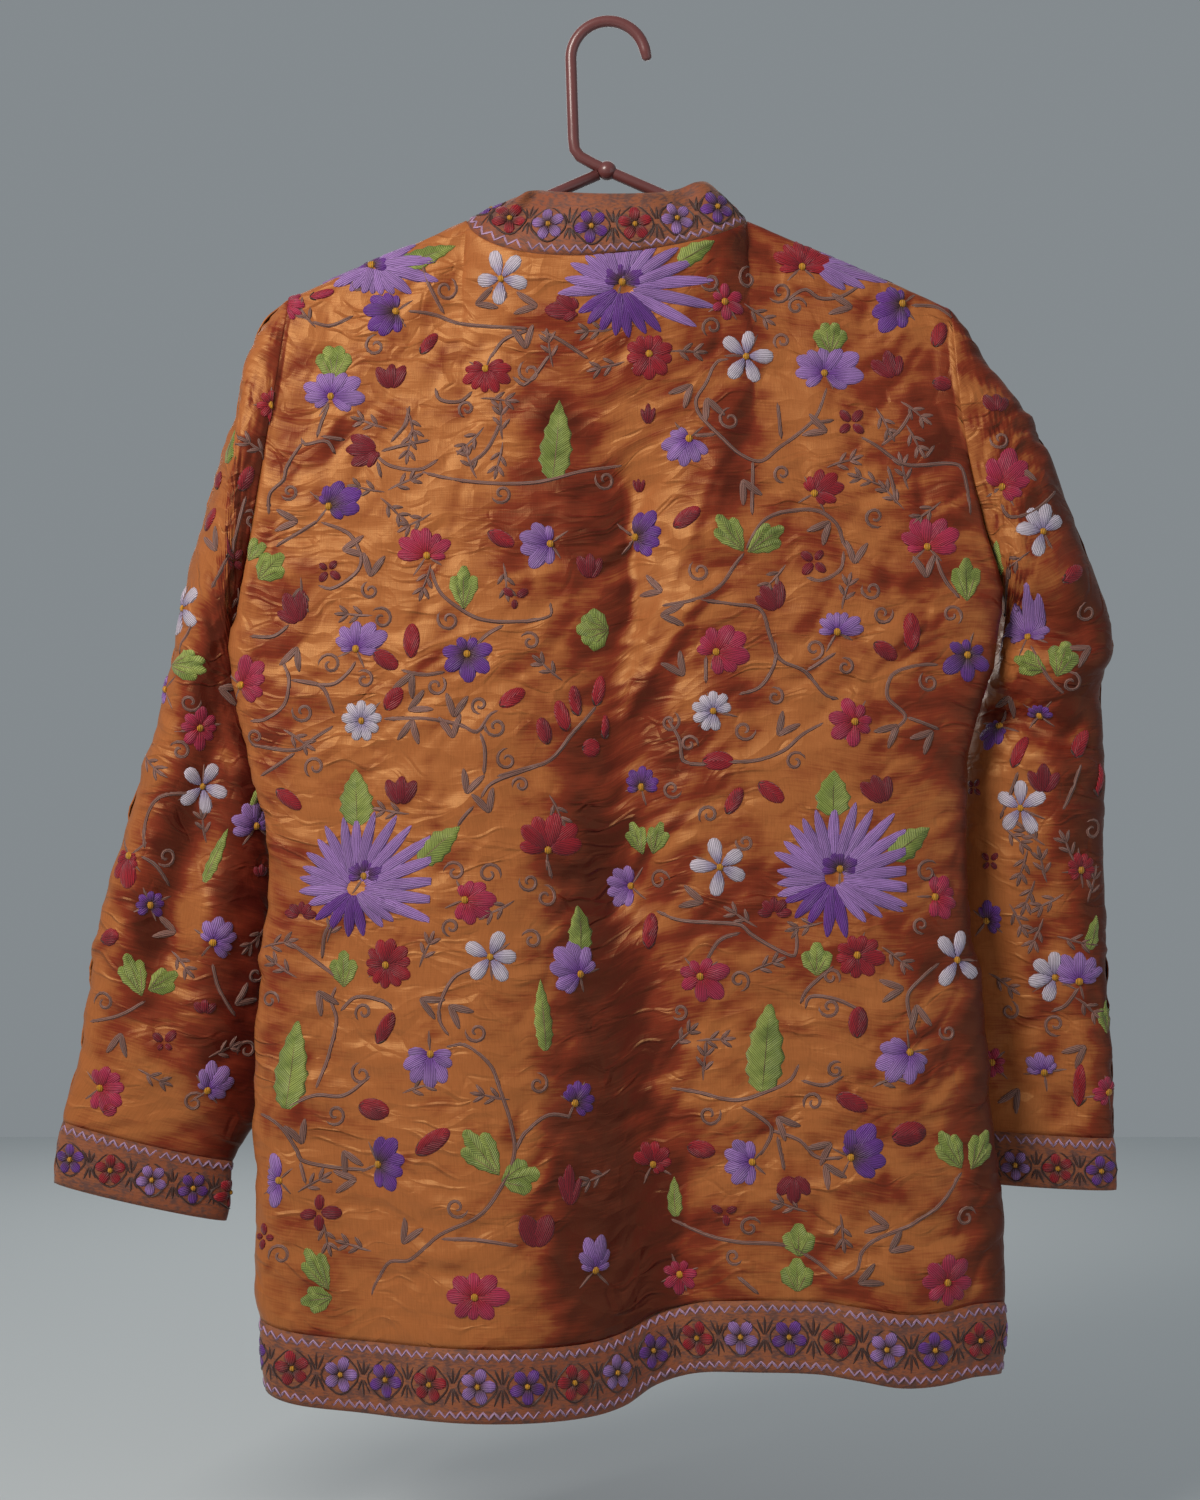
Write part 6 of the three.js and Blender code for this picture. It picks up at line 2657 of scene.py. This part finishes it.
@dataclass(frozen=True)
class Studio:
    """A plain pale floor, soft light from the upper left, and the camera."""

    floor_z: float = -1015.0
    floor_size: float = 4200.0

    def build(self) -> None:
        """Makes the floor, the lights and the camera."""
        bm = bmesh.new()
        bmesh.ops.create_grid(bm, x_segments=1, y_segments=1, size=self.floor_size * MM / 2)
        bmesh.ops.translate(bm, vec=(0, 0, self.floor_z * MM), verts=bm.verts[:])
        mesh = bpy.data.meshes.new("floor")
        bm.to_mesh(mesh)
        bm.free()
        sh = Shader("pale_floor")
        sh.set(Base_Color=(0.56, 0.6, 0.62, 1), Roughness=0.85)
        mesh.materials.append(sh.material)
        floor = bpy.data.objects.new("floor", mesh)
        bpy.context.collection.objects.link(floor)
        world = bpy.data.worlds.new("studio")
        world.use_nodes = True
        world.node_tree.nodes["Background"].inputs[0].default_value = (0.58, 0.64, 0.68, 1)
        world.node_tree.nodes["Background"].inputs[1].default_value = 0.4
        bpy.context.scene.world = world
        bpy.context.scene.view_settings.view_transform = "Standard"
        self.lamp("key", (-900, -1250, 560), 700, 28, (1.0, 0.95, 0.88))
        self.lamp("fill", (1500, -900, -300), 1400, 3, (0.92, 0.96, 1.0))
        self.lamp("front_side", (-250, 1700, 400), 1400, 9, (1.0, 0.97, 0.93))
        self.camera()

    def lamp(
        self, name: str, place: tuple[float, float, float], size: float, watts: float,
        tint: tuple[float, float, float],
    ) -> None:
        """Adds a square soft light that looks at the jacket's middle.

        Args:
            name: the light's name.
            place: where it stands.
            size: its side.
            watts: its power.
            tint: its colour.
        """
        data = bpy.data.lights.new(name, "AREA")
        data.size, data.energy, data.color = size * MM, watts, tint
        light = bpy.data.objects.new(name, data)
        light.location = Vector(place) * MM
        middle = Vector((0, 0, -450)) * MM
        light.rotation_euler = (middle - light.location).to_track_quat("-Z", "Y").to_euler()
        bpy.context.collection.objects.link(light)

    def camera(self) -> None:
        """Sets the camera where the photographer's was."""
        data = bpy.data.cameras.new("photographer")
        data.sensor_width = PHOTO.sensor
        data.lens = PHOTO.sensor * PHOTO.distance / (PHOTO.height * PHOTO.mm_per_px)
        data.clip_end = 20
        cam = bpy.data.objects.new("photographer", data)
        x, z = PHOTO.centre()
        cam.location = Vector((x, -PHOTO.distance, z)) * MM
        cam.rotation_euler = Euler((math.pi / 2, 0, 0))
        bpy.context.collection.objects.link(cam)
        bpy.context.scene.camera = cam


def main() -> None:
    """Builds the hanger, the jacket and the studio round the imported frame."""
    logging.basicConfig(level=logging.INFO, format="%(name)s: %(message)s")
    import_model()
    Hanger().build(HangerPlastic().make("hanger_plastic"))
    jacket = Jacket()
    jacket.cut()
    jacket.sew()
    jacket.declare(jacket.embroider())
    Studio().build()


if __name__ == "__main__":
    main()
